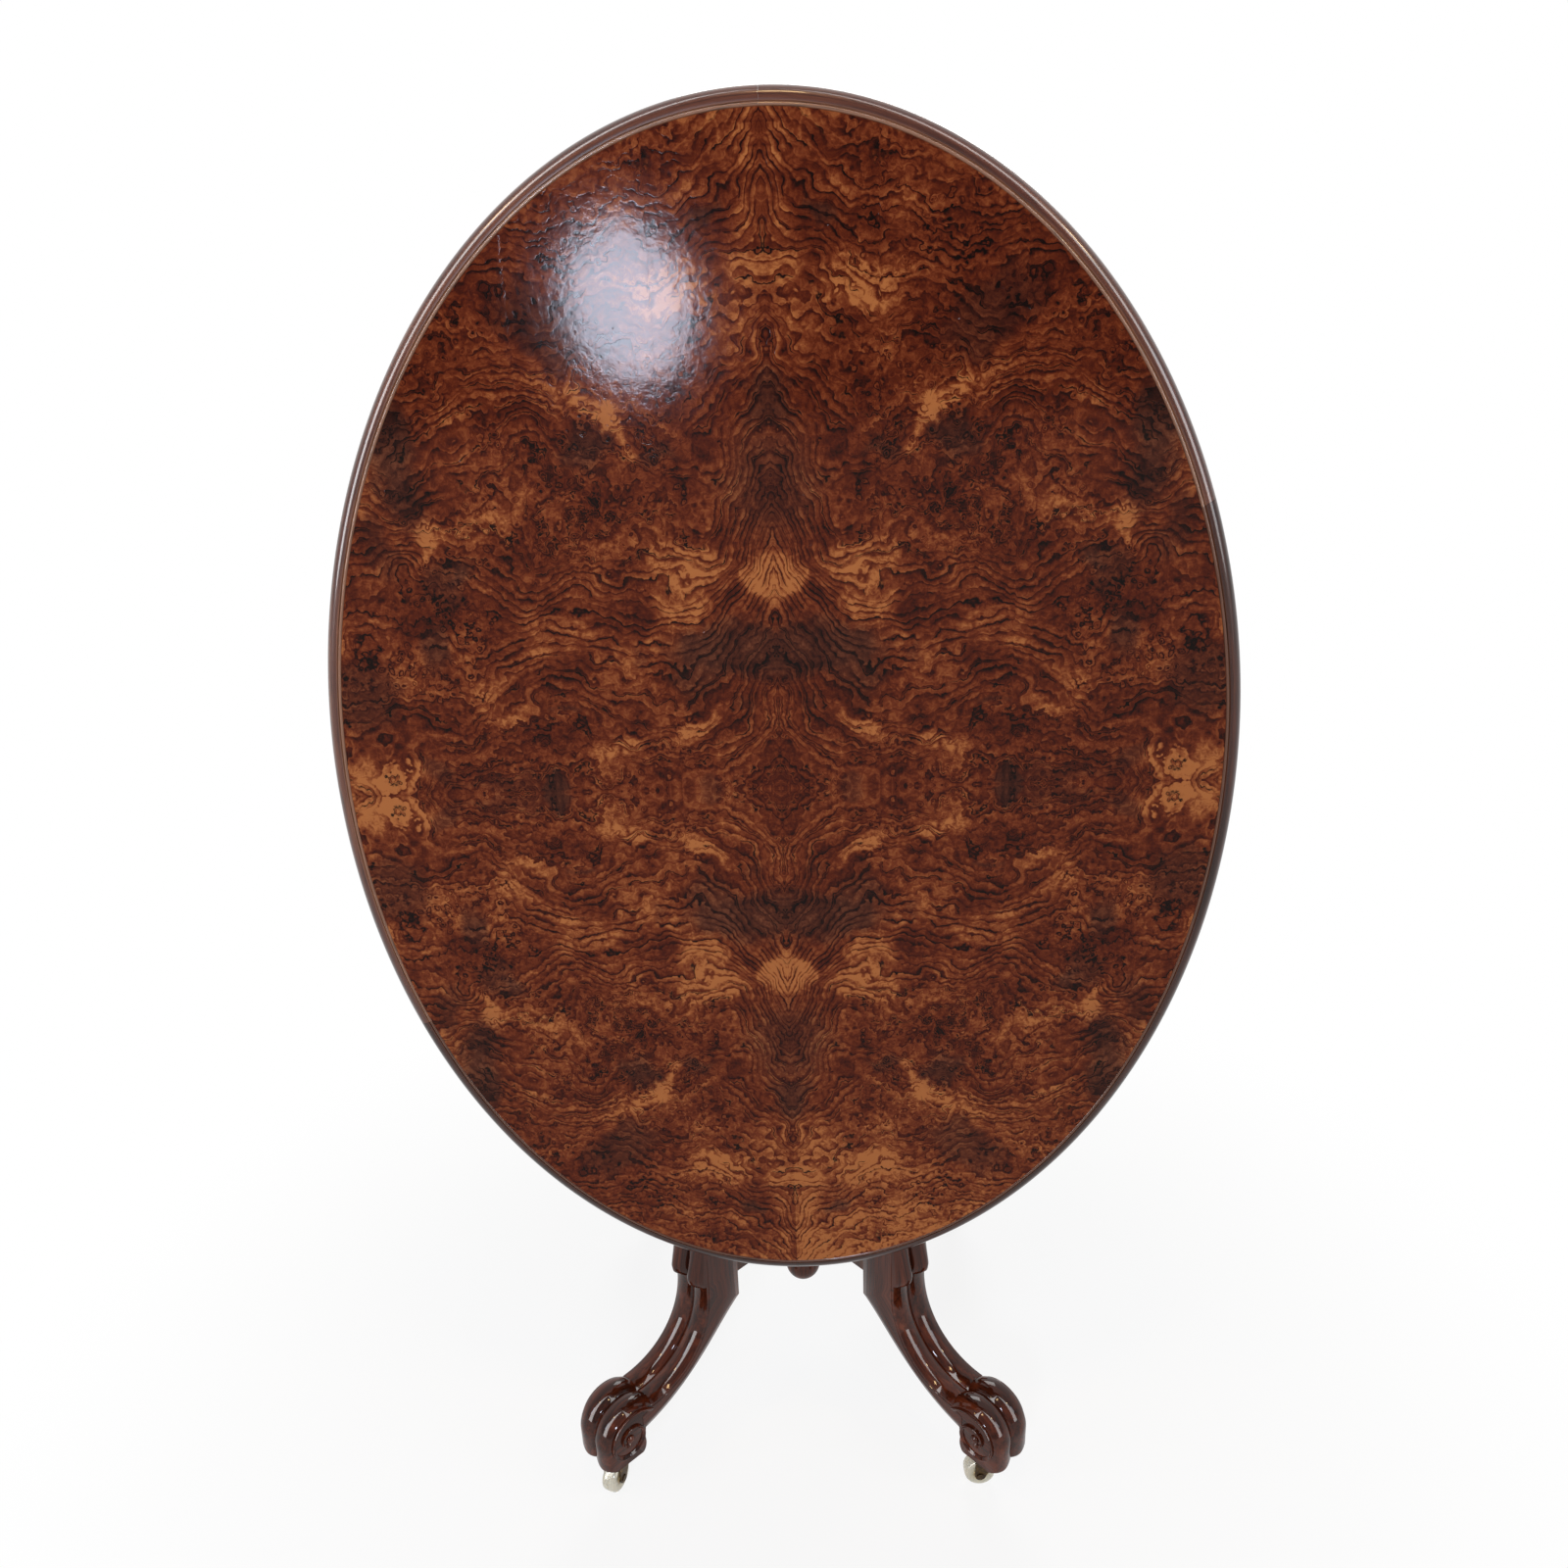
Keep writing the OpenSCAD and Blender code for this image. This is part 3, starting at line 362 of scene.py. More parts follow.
def glazedChina(stainMm=7, crazeMm=5.5):
    # glazed earthenware of a castor wheel: white, crazed, stained brown near the axle; its attribute
    # grain holds [radius, round, depth] in mm
    material, add, shader = newMaterial("glazedChina", {
        "Roughness": 0.24, "IOR": 1.5, "Specular IOR Level": 0.5,
        "Coat Weight": 0.4, "Coat Roughness": 0.08})
    place = add("Attribute", {"attribute_name": "grain"}).outputs["Vector"]
    radius = add("SeparateXYZ", {0: place})
    source = add("TexCoord").outputs["Object"]
    stain = add("TexNoise", {"Scale": 1000 / stainMm, "Detail": 5, "Roughness": 0.7, "Vector": source})
    reach = add("Math MULTIPLY_ADD", {0: stain, 1: 7.0, 2: radius})
    level = add("MapRange", {"From Min": 7.5, "From Max": 17.0, "Value": reach})
    tone = setStops(add("ValToRGB", {0: level}), (0, 0.3, 0.5, 1), "#3c2812 #967c4a #ccc09c #ded6be")
    craze = add("TexVoronoi", {"feature": "DISTANCE_TO_EDGE", "Scale": 1000 / crazeMm, "Vector": source})
    crack = add("MapRange", {"From Min": 0.01, "From Max": 0.03, "To Min": 0.76, "To Max": 1.0,
                             "Value": craze})
    tint = add("VectorMath SCALE", {0: tone, "Scale": crack})
    setParts(shader, {"Base Color": tint})
    return material


woods = {
    "veneer": burrWalnut(),
    # carved and turned walnut, stained dark red-brown and French polished, with sharp highlights
    "legs": plainWood("frenchPolishedWalnut", "#220c06 #3e1a0e #582614 #783c24",
                      (0.3, 0.0, 0.58, 0.05), places=(0, 0.35, 0.65, 1)),
    # the rim is cross-banded in lengths of walnut, paler along the bead beside the veneer as worn polish
    # and a painted highlight; these are the lengths in the light
    "rim": plainWood("frenchPolishedMoulding", "#2c1107 #4d2213 #633420 #805035",
                     (0.28, 0.3, 0.5, 0.06), wearAndHighlight=(31.5, 4.5, "#9e7052", 0.6)),
    # the lengths on the right and below are a darker, less glossy copy of the same moulding: painted
    # shade, with a dimmer painted highlight on the bead
    "rimPaintedShade": plainWood("frenchPolishedMouldingPaintedShade", "#1d0a04 #34150b #482215 #623722",
                         (0.28, 0.2, 0.4, 0.06), wearAndHighlight=(31.5, 4.0, "#7d5138", 0.5))}
# the woods with only a thin finish, with a streak's width and length in mm, and the grain's axis
for key, name, colours, shine, across, along, axis in (
        ("block", "stainedBeech", "#23110a #3d1f12 #54301d #6e4529", (0.5, 0.35), 3, 90, 0),
        ("rails", "stainedRailBeech", "#23110a #3a1c10 #4e2a19 #653b25", (0.4, 0.35), 5, 40, 2),
        ("bearers", "oiledMahogany", "#2b140c #4a2415 #67371f #82502f", (0.55, 0.3), 2.6, 80, 2),
        ("board", "stainedPineBoard", "#3a2114 #51301d #694328 #805a39", (0.72, 0.25), 7, 300, 2)):
    woods[key] = plainWood(name, colours, shine, acrossMm=across, alongMm=along, axis=axis, own=False)
metals = {
    # lacquered yellow brass, dulled by handling
    "brass": castMetal("castBrass", "#8a6a2c #b8924a #d1b06a", {"Metallic": 1.0, "Roughness": 0.3}),
    # brass that has gone brown under a century of floor wax
    "aged": castMetal("patinatedBrass", "#2a2018 #4d3a22 #7d6236", {"Metallic": 0.85, "Roughness": 0.38},
                      blotchMm=5),
    # black wrought iron with a little rust
    "iron": castMetal("forgedIron", "#221d1a #3d3833 #5a4a3e", {"Metallic": 0.8, "Roughness": 0.5},
                      places=(0.3, 0.6, 0.85), blotchMm=3)}
china = glazedChina()
print("finishes made")

top = {"width": 840, "length": 1138, "boardThick": 21, "veneerThick": 1.2, "rimWidth": 17, "rimDrop": 8,
       "rimRound": 13.5, "joint": 26.25, "spacing": 1.7, "lengthGap": 0.012}
leafLow = boxOf("veneer_upper_right")[0]
faceY, middleZ = leafLow[1], leafLow[2]           # the polished face, and where the four quarters meet
# each leaf's tone, and how much more golden it turns towards its tip
veneer = {"tones": {"veneer_upper_right": (-0.03, 0.0), "veneer_upper_left": (0.0, 0.0),
                    "veneer_lower_left": (0.05, 0.0), "veneer_lower_right": (0.0, 0.75)},
          "joints": (92, 209),
          # clouds that bend the figure and raise its lines: their size and their strength in mm
          "broad": 150, "broadBy": 26, "medium": 46, "mediumBy": 11, "fine": 15, "fineBy": 10,
          "swell": 110, "swellBy": 46, "ripple": 40, "rippleBy": 14,
          # slope of the lines by the seam: of the bars, what the chevrons add above, and far out
          "barSlope": 0.45, "chevronSlope": 0.75, "farSlope": 0.25, "chevronsFrom": 190}
# paler, golden places of a quarter, as [across, up, half-width, half-height, turn, amount] in mm and
# degrees, from the meeting point of the quarters
goldenMarks = np.array([
    [4, 196, 26, 22, 0, 0.95], [84, 190, 30, 42, -8, 0.6], [60, 208, 22, 20, 20, 0.4],
    [66, 64, 38, 7, -40, 0.95], [145, 38, 26, 6, -22, 0.6], [10, 440, 16, 60, 0, 0.4],
    [78, 432, 44, 26, 5, 0.6], [138, 330, 9, 31, -38, 1.1], [180, 357, 15, 15, 0, 0.2],
    [345, 262, 26, 14, -25, 0.4], [296, 240, 12, 24, 15, 0.95], [372, 20, 40, 24, 0, 0.8],
    [128, 112, 24, 30, 0, 0.45], [200, 150, 34, 26, 0, 0.3], [60, 20, 50, 26, 0, 0.15],
    [100, 500, 60, 30, -15, 0.15], [20, 540, 26, 26, 0, 0.4], [268, 130, 26, 50, 0, 0.3],
    [350, 170, 20, 40, 0, 0.25], [240, 240, 26, 20, 30, 0.2], [90, 380, 26, 20, 20, 0.3],
    [250, 80, 40, 16, 10, 0.25], [105, 155, 14, 24, 0, 0.5]], float)
# dark, grey-brown places in the same terms
darkMarks = np.array([
    [0, 134, 86, 25, 0, 0.95], [70, 118, 24, 32, 0, 0.75], [8, 346, 14, 28, 25, 0.9],
    [0, 276, 46, 46, 0, 0.6], [46, 478, 9, 14, 30, 0.95], [155, 308, 20, 19, 0, 0.9],
    [95, 303, 16, 9, 0, 0.75], [180, 402, 44, 22, 38, 0.7], [324, 318, 25, 76, -14, 1.0],
    [286, 196, 16, 22, 10, 0.7], [302, 140, 15, 26, 8, 0.85], [374, 98, 30, 34, 0, 0.65],
    [250, 12, 50, 9, 0, 0.4], [205, 8, 13, 11, 0, 0.95], [318, 26, 18, 12, 20, 0.6],
    [190, 82, 12, 4, 0, 0.7], [66, 0, 12, 7, 0, 0.5], [340, 230, 12, 34, -20, 0.5],
    [270, 205, 10, 16, 0, 0.5], [24, 90, 10, 8, 30, 0.4], [120, 128, 8, 10, 0, 0.4]], float)
# clusters of small eyes in the same terms
eyeClusters = np.array([
    [155, 310, 26, 18, 0, 0.9], [95, 305, 20, 14, 0, 0.8], [100, 30, 26, 22, 0, 0.5],
    [240, 330, 26, 20, 30, 0.5], [300, 190, 20, 26, 0, 0.5], [170, 250, 20, 20, 0, 0.5],
    [60, 445, 16, 16, 0, 0.5], [340, 120, 24, 20, 0, 0.6]], float)
# knots that the lines run round, as [across, up, radius, rise of the lines] in mm
knots = np.array([[180, 357, 13, 22], [372, 4, 42, 60], [70, 4, 20, 26], [252, 300, 22, 20],
                  [330, 205, 20, -26], [300, 60, 26, 18], [118, 245, 16, -18], [220, 225, 26, 24],
                  [60, 300, 20, 16], [140, 450, 24, 20], [225, 430, 22, -18], [96, 395, 14, 14],
                  [30, 62, 16, 16], [150, 190, 14, 14], [268, 372, 20, 18]], float)


def marksField(x, z, marks, crispness=2.6):
    # soft-edged ovals, each turned and scaled
    total = np.zeros_like(x)
    for kx, kz, wide, tall, turn, amount in marks:
        c, s = np.cos(np.radians(turn)), np.sin(np.radians(turn))
        u, v = ((x - kx) * c + (z - kz) * s) / wide, (-(x - kx) * s + (z - kz) * c) / tall
        total = total + amount * np.exp(-(u * u + v * v) ** crispness)
    return total


def veneerFields(x, z):
    # the height that the lines follow climbs to the seam as chevrons and lies level farther out, is
    # bent by clouds of two sizes and heaped up at the knots; tone and heartwood are blurred marks
    broad = [veneer["broadBy"] * cloudField(x, z, veneer["broad"], seed, 2) for seed in (1, 11)]
    mid = [cloudField(x, z, veneer["medium"], seed, 3) for seed in (21, 31)]
    fine = [veneer["fineBy"] * cloudField(x, z, veneer["fine"], seed, 3) for seed in (61, 71)]
    bx, bz = (at + broad[n] + veneer["mediumBy"] * mid[n] for n, at in enumerate((x, z)))
    upper = 0.5 + 0.5 * np.tanh((z - veneer["chevronsFrom"]) / 45)
    steep = (veneer["barSlope"] + veneer["chevronSlope"] * upper) * np.exp(-(x / 130) ** 2)
    steep = steep + veneer["farSlope"]
    height = bz + steep * bx + veneer["swellBy"] * cloudField(x, z, veneer["swell"], 41, 2)
    height = height + veneer["rippleBy"] * cloudField(bx, bz, veneer["ripple"], 51, 3)
    for kx, kz, radius, rise in knots:
        height = height + rise * np.exp(-((bx - kx) ** 2 + (bz - kz) ** 2) / radius ** 2)
    # the marks' edges are ragged
    wx, wz = (at + 9 * mid[n] + fine[n] for n, at in enumerate((x, z)))
    golden = marksField(wx, wz, goldenMarks)
    heartwood = np.clip(marksField(wx, wz, darkMarks), 0, 1)
    share = np.clip(0.65 + 1.5 * cloudField(x, z, 60, 81, 2), 0.1, 1.1)
    share = share + marksField(wx, wz, eyeClusters)
    # there is little burr by the golden bars and near the tip
    calm = sum(np.exp(-((x - kx) / wide) ** 2 - ((z - kz) / tall) ** 2)
               for kx, kz, wide, tall in ((60, 200, 60, 50), (30, 500, 60, 90)))
    return height, golden, heartwood, share * (1 - 0.8 * np.clip(calm, 0, 1))


def veneerQuarter(name, right, up, tone, tip):
    # a quarter of an ellipse: x = a u sqrt(1 - v v / 2), z = b v sqrt(1 - u u / 2) for u and v from 0
    # to 1; right and up are 1 or -1. At two joints, drawn but not cut, the figure shifts a little
    a, b = top["width"] / 2 - top["rimWidth"], top["length"] / 2 - top["rimWidth"]
    columns, rows = int(a / top["spacing"]), int(b / top["spacing"])
    u, v = np.meshgrid(np.linspace(0, 1, columns), np.linspace(0, 1, rows))
    x, z = a * u * np.sqrt(1 - v * v / 2), b * v * np.sqrt(1 - u * u / 2)
    height, golden, heartwood, share = veneerFields(x, z)
    leafNo = (x > veneer["joints"][0]).astype(float) + (x > veneer["joints"][1])
    golden = golden + tone / burr["marks"] + tip * (z / b) ** 3
    figure = np.stack([height + 1.6 * leafNo, golden, share], -1).reshape(-1, 3)
    leaf = np.stack([x + 3 * leafNo, z + 4 * leafNo, heartwood], -1).reshape(-1, 3)
    front = np.stack([right * x, np.full_like(x, faceY), middleZ + up * z], -1).reshape(-1, 3)
    grid = np.arange(rows * columns).reshape(rows, columns)
    edge = np.concatenate([grid[0], grid[1:, -1], grid[-1, -2::-1], grid[-2:0:-1, 0]])
    back = front[edge] + (0, top["veneerThick"], 0)
    count, ring = rows * columns, np.arange(len(edge))
    faces = quadsOf(rows, columns)[:, ::-1].tolist()
    faces += np.stack([edge, np.roll(edge, -1), count + np.roll(ring, -1), count + ring], -1).tolist()
    faces.append((count + ring).tolist())
    addPiece("leaf_" + name, "top", np.vstack([front, back]), faces,
             {"figure": np.vstack([figure, figure[edge]]), "leaf": np.vstack([leaf, leaf[edge]])},
             woods["veneer"], [name], sharp=30)


for name, (tone, tip) in veneer["tones"].items():
    veneerQuarter(name, 1 if "right" in name else -1, 1 if "upper" in name else -1, tone, tip)
print("veneer laid")


def rimSection():
    # [inset from the outer edge, height above the board's underside] in mm: bead and quirk
    # beside the field, a fillet, a broad ovolo, a step and a hollow that turns under
    face = top["boardThick"] + top["veneerThick"]
    w, bead, fillet = top["rimWidth"], 3.0, 1.4
    k = np.linspace(0, 1, 15)
    inner = np.stack([w - bead * k, face - 1.1 * (1 - np.sin(np.radians(155) * k))], -1)
    quirk = np.array([[w - bead - 0.35, face - 1.5], [w - bead - 0.6, face - 1.6],
                      [w - bead - 0.85, face - 1.4], [w - bead - 1.1, face - 0.55],
                      [w - bead - fillet - 1.0, face - 0.55], [w - bead - fillet - 1.1, face - 0.7]])
    roundTop, roundWide = face - 1.4, w - bead - fillet - 1.1
    q = np.linspace(0, np.pi / 2, 30)
    ovolo = np.stack([roundWide * (1 - np.sin(q)), roundTop - top["rimRound"] * (1 - np.cos(q))], -1)
    foot = roundTop - top["rimRound"]
    step = np.array([[0, foot - 1.9], [0.15, foot - 2.1], [1.1, foot - 2.5]])
    q = np.linspace(0, np.pi / 2, 12)
    under, drop = foot - 2.6, top["rimDrop"]
    hollow = np.stack([1.2 + 7 * np.sin(q), under - (under + drop) * (1 - np.cos(q))], -1)
    return np.vstack([[[w, -drop + 0.5], [w, face - 1.3]], inner, quirk, ovolo, step, hollow,
                      [[8.6, -drop], [w - 0.5, -drop]]])


def rimLength(name, start, end, wood):
    # the section stands on the ellipse at each angle from start to end, inset along both axes;
    # the lengths stop 0.1 mm short of their joints, as scraped mitres that have shrunk
    section, perDegree = rimSection(), 1.2
    turn = np.radians(np.linspace(start + top["lengthGap"], end - top["lengthGap"],
                                  int(abs(end - start) * perDegree) + 2))
    inset, height = section[:, 0], section[:, 1]
    x = (top["width"] / 2 - inset)[None, :] * np.cos(turn)[:, None]
    z = (top["length"] / 2 - inset)[None, :] * np.sin(turn)[:, None]
    under = faceY + top["boardThick"] + top["veneerThick"]
    y = np.broadcast_to(under - height, x.shape)
    points, faces = sweptShell(np.stack([x, y, middleZ + z], -1))
    # cross-banded: the grain runs round the section and each length shows its own stretch of it, in the
    # finish it is given, which on the right and below carries painted shade
    run = lengthAlong(x[:, 0], z[:, 0])[:, None]
    grain = np.stack([np.broadcast_to(run + start * 7, x.shape),
                      np.broadcast_to(lengthAlong(*section.T), x.shape), np.zeros_like(x)], -1)
    addPiece("moulding_" + name, "top", points, faces, {"grain": grain}, woods[wood],
             [name], sharp=38)


joint = top["joint"]
# the lengths on the right and below take the darker copy of the moulding: painted shade
for name, start, end, wood in (
        ("rim_upper_right", joint, 90, "rim"), ("rim_right", -joint, joint, "rimPaintedShade"),
        ("rim_lower_right", -90, -joint, "rimPaintedShade"), ("rim_lower_left", 180 + joint, 270, "rimPaintedShade"),
        ("rim_left", 180 - joint, 180 + joint, "rim"), ("rim_upper_left", 90, 180 - joint, "rim")):
    rimLength(name, start, end, wood)
print("rim moulded")

# the CAD nodes that stay take their finishes by the start of their names
for material, starts in (
        (woods["board"], "top_board"), (woods["bearers"], "bearer_"), (metals["iron"], "bearer_screws"),
        (woods["block"], "pivot_block"), (woods["rails"], "cross_rail"),
        (metals["brass"], ("pivot_pin", "pivot_washers", "catch_", "keeper_screws")),
        (metals["aged"], ("castor_plate", "castor_fork", "castor_axle"))):
    for name in nodes:
        if name.startswith(starts):
            nodes[name].data.materials.clear()
            nodes[name].data.materials.append(material)
print("CAD nodes finished")


def bead(z, h, r, b):
    # a half-round ring from z to z + h, standing b out from radius r
    k = np.linspace(0, 1, 12)
    return np.stack([r + b * np.sin(np.pi * k), z + h * k], -1)


def sweepTo(z0, r0, z1, r1, n=16):
    # a smooth change of radius, level at both ends
    k = np.linspace(0, 1, n)
    return np.stack([r0 + (r1 - r0) * (1 - np.cos(np.pi * k)) / 2, z0 + (z1 - z0) * k], -1)


def turnedPiece(name, profile, at):
    # profile in mm, standing at a point in mm; its grain runs up the axis
    points, faces = turnedShell(profile, 96)
    grain = np.stack([points[:, 2] + at[0], points[:, 0] + at[0] * 3, points[:, 1] + at[1]], -1)
    addPiece("turned_" + name, "base", points + at, faces, {"grain": grain}, woods["legs"],
             [name], sharp=40)


base = {"columnAt": 152 / np.sqrt(2), "belly": 27, "neck": 15, "bellyAt": 0.36, "dropR": 22, "dropZ": 97,
        "legTop": 268, "railTop": 250, "railUnder": 198, "finialHigh": 150, "finialR": 27}
# the signs of x and y at each corner
corners = {"front_right": (1, -1), "front_left": (-1, -1), "back_left": (-1, 1), "back_right": (1, 1)}


def columnProfile():
    long = boxOf("pivot_block")[0][2] - base["legTop"]
    lo, hi = 48, long - 62
    widest = lo + (hi - lo) * base["bellyAt"]
    b, n = base["belly"], base["neck"]
    return np.vstack([
        [[0, -1], [10, -1], [10, 0.05], [b - 1.6, 0.05], [b - 1, 0.7], [b - 1, 5.6], [b - 1.6, 6]],
        bead(6.2, 10.6, b - 3, 3.5), sweepTo(18, b - 4, 33, n + 1), bead(34, 7, n + 2, 3.5),
        sweepTo(42, n, widest, b, 40), sweepTo(widest, b, hi, n, 40)[1:], bead(hi + 2, 6, n + 1.5, 3),
        sweepTo(hi + 9, n, hi + 30, n + 1), bead(hi + 31, 9, n + 3, 4.5),
        sweepTo(hi + 41, n + 2, hi + 54, b - 4),
        [[b - 4, long - 0.6], [b - 4.6, long - 0.05], [10, long - 0.05], [10, long + 1], [0, long + 1]]])


def finialProfile():
    high, r = base["finialHigh"], base["finialR"]
    waist, neck, knobZ = r * 0.4, r / 3, high * 0.75
    k = np.linspace(0, 1, 20)
    knob = np.stack([r * 0.3 * np.sin(np.radians(45 + 135 * k)),
                     knobZ + (high - knobZ) * (1 - np.cos(np.pi / 2 * k)) * (0.5 + 0.5 * k)], -1)[:-1]
    return np.vstack([
        [[0, 0.05], [r + 2.4, 0.05], [r + 3, 0.7], [r + 3, 4.6]], bead(5, 9, r - 1, 4),
        sweepTo(15, r - 2, 34, waist), bead(35, 6, waist + 1, 3.5), sweepTo(42, waist, 74, r, 24),
        bead(74.3, 8, r, 2.5), sweepTo(83, r - 1, 104, neck, 20), bead(105, 6, neck + 0.5, 3),
        knob, [[0, high]]])


def dropProfile():
    r, under = base["dropR"], base["railUnder"]
    neckZ = under - 8
    centre = base["dropZ"] + r
    turn = np.radians(30 + 150 * np.linspace(0, 1, 36))
    ball = np.stack([r * np.sin(turn), centre + r * np.cos(turn)], -1)[:-1]
    k = np.linspace(1, 0, 16)
    return np.vstack([
        [[0, under - 0.05], [r + 2.4, under - 0.05], [r + 3, under - 0.7], [r + 3, neckZ + 3.4]],
        np.stack([r - 3 + 4 * np.sin(np.pi * k), neckZ - 6 + 9 * k], -1),
        sweepTo(neckZ - 7, r - 6, centre + r * 0.92, r * 0.5), ball, [[0, base["dropZ"]]]])


for corner, (sx, sy) in corners.items():
    turnedPiece("column_" + corner, columnProfile(),
                (sx * base["columnAt"], sy * base["columnAt"], base["legTop"]))
turnedPiece("finial", finialProfile(), (0, 0, base["railTop"]))
turnedPiece("drop", dropProfile(), (0, 0, 0))
print("turnings made")

# a leg stands in its own upright plane, as [distance from the middle, across, height] in mm; the
# round scroll keeps a little within its faceted solid
leg = {"half": 28.5, "inner": 130, "front": 180, "cornerZ": 172, "kneeZ": 218, "kneeOut": 11,
       "bendZ": 205, "rib": 4.5, "chamferWide": 10, "chamferDeep": 4, "scrollAt": 302, "scrollR": 36,
       "foot": 51, "ankle": 30, "cheek": 28.1, "start": 150, "swing": 12, "turns": 1.7,
       "volute": 2.6, "band": 4.6, "within": 0.42, "padHalf": 14.25}
# the scroll's circle is twice padHalf wide where the foot is cut flat
leg["scrollZ"] = leg["foot"] + np.sqrt(leg["scrollR"] ** 2 - leg["padHalf"] ** 2)
leg["ankleZ"] = leg["scrollZ"] + leg["scrollR"] * 0.7
leg["core"] = leg["scrollR"] - leg["rib"] - 1.5
leg["winding"] = leg["core"] - 2.5


def curveOf(ends, count):
    # a cubic curve from its four guide points
    s = np.linspace(0, 1, count)[:, None]
    p = np.asarray(ends, float)
    return (1 - s) ** 3 * p[0] + 3 * (1 - s) ** 2 * s * p[1] + 3 * (1 - s) * s ** 2 * p[2] + s ** 3 * p[3]


def ribPoints():
    # half of the front across the leg: [sideways, height] over one rib, from the side to the groove
    k = np.linspace(0.03, 1, 16)[:-1]
    return np.stack([-leg["half"] * (1 - k), leg["rib"] * np.sin(np.pi * k)], -1)


def legShell():
    # the section is carried down the post and the shank between the front and the under line; each
    # rib swells forward at the knee, and the swell ends below in a crisp step
    w, deep, wide, groove, steps = leg["half"], leg["chamferDeep"], leg["chamferWide"], 1.6, 60
    rib = ribPoints()
    half = np.vstack([[[-w + deep, 0, 0], [-w + 0.35, 0, wide - 0.8], [-w, 0, wide], [-w, 0.5, 0],
                       [-w, 1, -2.7], [-w + 0.5, 1, -2.5], [-w + 0.7, 1, -1.2]],
                      np.stack([rib[:, 0], np.ones(len(rib)), rib[:, 1]], -1)])
    section = np.vstack([half, [[0, 1, -groove]], half[::-1] * (-1, 1, 1)])
    rise = np.array([50, 49.4, 42, 38, 32, 27, 21, 16.5, 12, 8, 5, 2.6, 1.3, 0.6])
    share = np.interp(rise, (0.6, 5, 12, 21, 32, 42, 50), (0.55, 0.9, 1, 0.8, 0.5, 0.25, 0))
    post = leg["kneeZ"] + rise
    inner, outer, cornerZ, bendZ, ankleZ, ankle, at = (
        leg[k] for k in ("inner", "front", "cornerZ", "bendZ", "ankleZ", "ankle", "scrollAt"))
    underLine = curveOf([[inner, cornerZ], [inner + 33, cornerZ - 20],
                         [inner + 74, ankleZ - ankle / 2], [at - 24, ankleZ - ankle]], steps)
    frontLine = curveOf([[outer, bendZ], [outer, bendZ - 55],
                         [outer + 35, ankleZ], [at - 34, ankleZ]], steps)

    def lineOf(x, curve, end):
        # straight down the post, then the curve and an end inside the scroll
        return np.vstack([np.stack([np.full_like(post, x), post], -1), [[x, leg["kneeZ"]]], curve,
                          [[at + end[0], leg["scrollZ"] + end[1]]]])

    back, front = lineOf(inner, underLine, (-18, -7)), lineOf(outer, frontLine, (-19, 21))
    swell = np.concatenate([share * leg["kneeOut"], np.zeros(steps + 2)])[:, None]
    depth = front - back
    long = np.linalg.norm(depth, axis=1)[:, None]
    lobe = np.clip((section[:, 2] + groove) / (leg["rib"] + groove), 0, 1) * (section[:, 1] == 1)
    reach = section[None, :, 2] + swell * lobe
    flat = back[:, None] + section[None, :, 1:2] * depth[:, None]
    flat = flat + reach[..., None] * (depth / long)[:, None]
    side = np.broadcast_to(section[:, 0], reach.shape)
    run = lengthAlong(*((front + back) / 2).T)[:, None]
    grain = np.stack([np.broadcast_to(run, side.shape), side, section[:, 1] * long], -1)
    return sweptShell(np.stack([flat[..., 0], side, flat[..., 1]], -1)), grain.reshape(-1, 3)


def widening(turn):
    # how much wider the scroll is where it starts, at the notch, than in front
    return leg["swing"] * np.clip((turn - 20) / (leg["start"] - 20), 0, None) ** 1.3


def scrollEdge(turn):
    # radius of the scroll at each direction in degrees, from the notch over the top, down the upright
    # front, under the foot and up again on the inner side
    core, start = leg["core"], leg["start"]
    pad, corner, inner = leg["scrollZ"] - leg["foot"] + 3, leg["core"] * 1.33, leg["scrollR"] * 0.63
    heel = pad / np.cos(np.radians(-20))

    def ease(a0, r0, a1, r1):
        # from radius r0 at direction a0 to r1 at a1, level at both ends
        return r0 + (r1 - r0) * (1 - np.cos(np.pi * (turn - a0) / (a1 - a0))) / 2

    return np.select(
        [turn > 0, turn > -50, turn > -110, turn > -160, turn > -178],
        [core + widening(turn), np.minimum(core / np.cos(np.radians(turn)), corner),
         np.minimum(pad / np.cos(np.radians(turn + 90)), corner),
         ease(-110, heel, -160, inner), inner],
        ease(-178, inner, start - 360, core + leg["swing"]))


def scrollShell():
    # rings across the leg follow the scroll's edge, cut flat where the castor bears; the flat sides
    # close on a point at the axis
    w, around = leg["cheek"], 180
    half = np.vstack([[[-w, -1.2], [-w + 0.15, -0.5], [-w + 0.6, -0.1]],
                      ribPoints()[1:] * (w / leg["half"], 1)])
    section = np.vstack([half, [[0, -1.8]], half[::-1] * (-1, 1)])
    turn = leg["start"] - 360 * np.arange(around) / around
    radius = scrollEdge(turn)[:, None] + section[None, :, 1] - leg["within"]
    angle = np.radians(turn)[:, None]
    across = np.broadcast_to(section[:, 0], radius.shape)
    rings = np.stack([radius * np.cos(angle), across, radius * np.sin(angle)], -1)
    points = np.vstack([rings.reshape(-1, 3), [[0, -w, 0], [0, w, 0]]])
    points[:, 2] = np.maximum(points[:, 2], leg["foot"] - leg["scrollZ"] + 0.02)
    columns, hub = len(section), around * len(section)
    first = np.arange(around) * columns
    faces = quadsOf(around, columns, closeRows=True).tolist()
    faces += np.stack([np.full(around, hub), first, np.roll(first, -1)], -1).tolist()
    last = first + columns - 1
    faces += np.stack([np.full(around, hub + 1), np.roll(last, -1), last], -1).tolist()
    points = points + (leg["scrollAt"], 0, leg["scrollZ"])
    return (points, faces), points * (1, 1, 0.6)


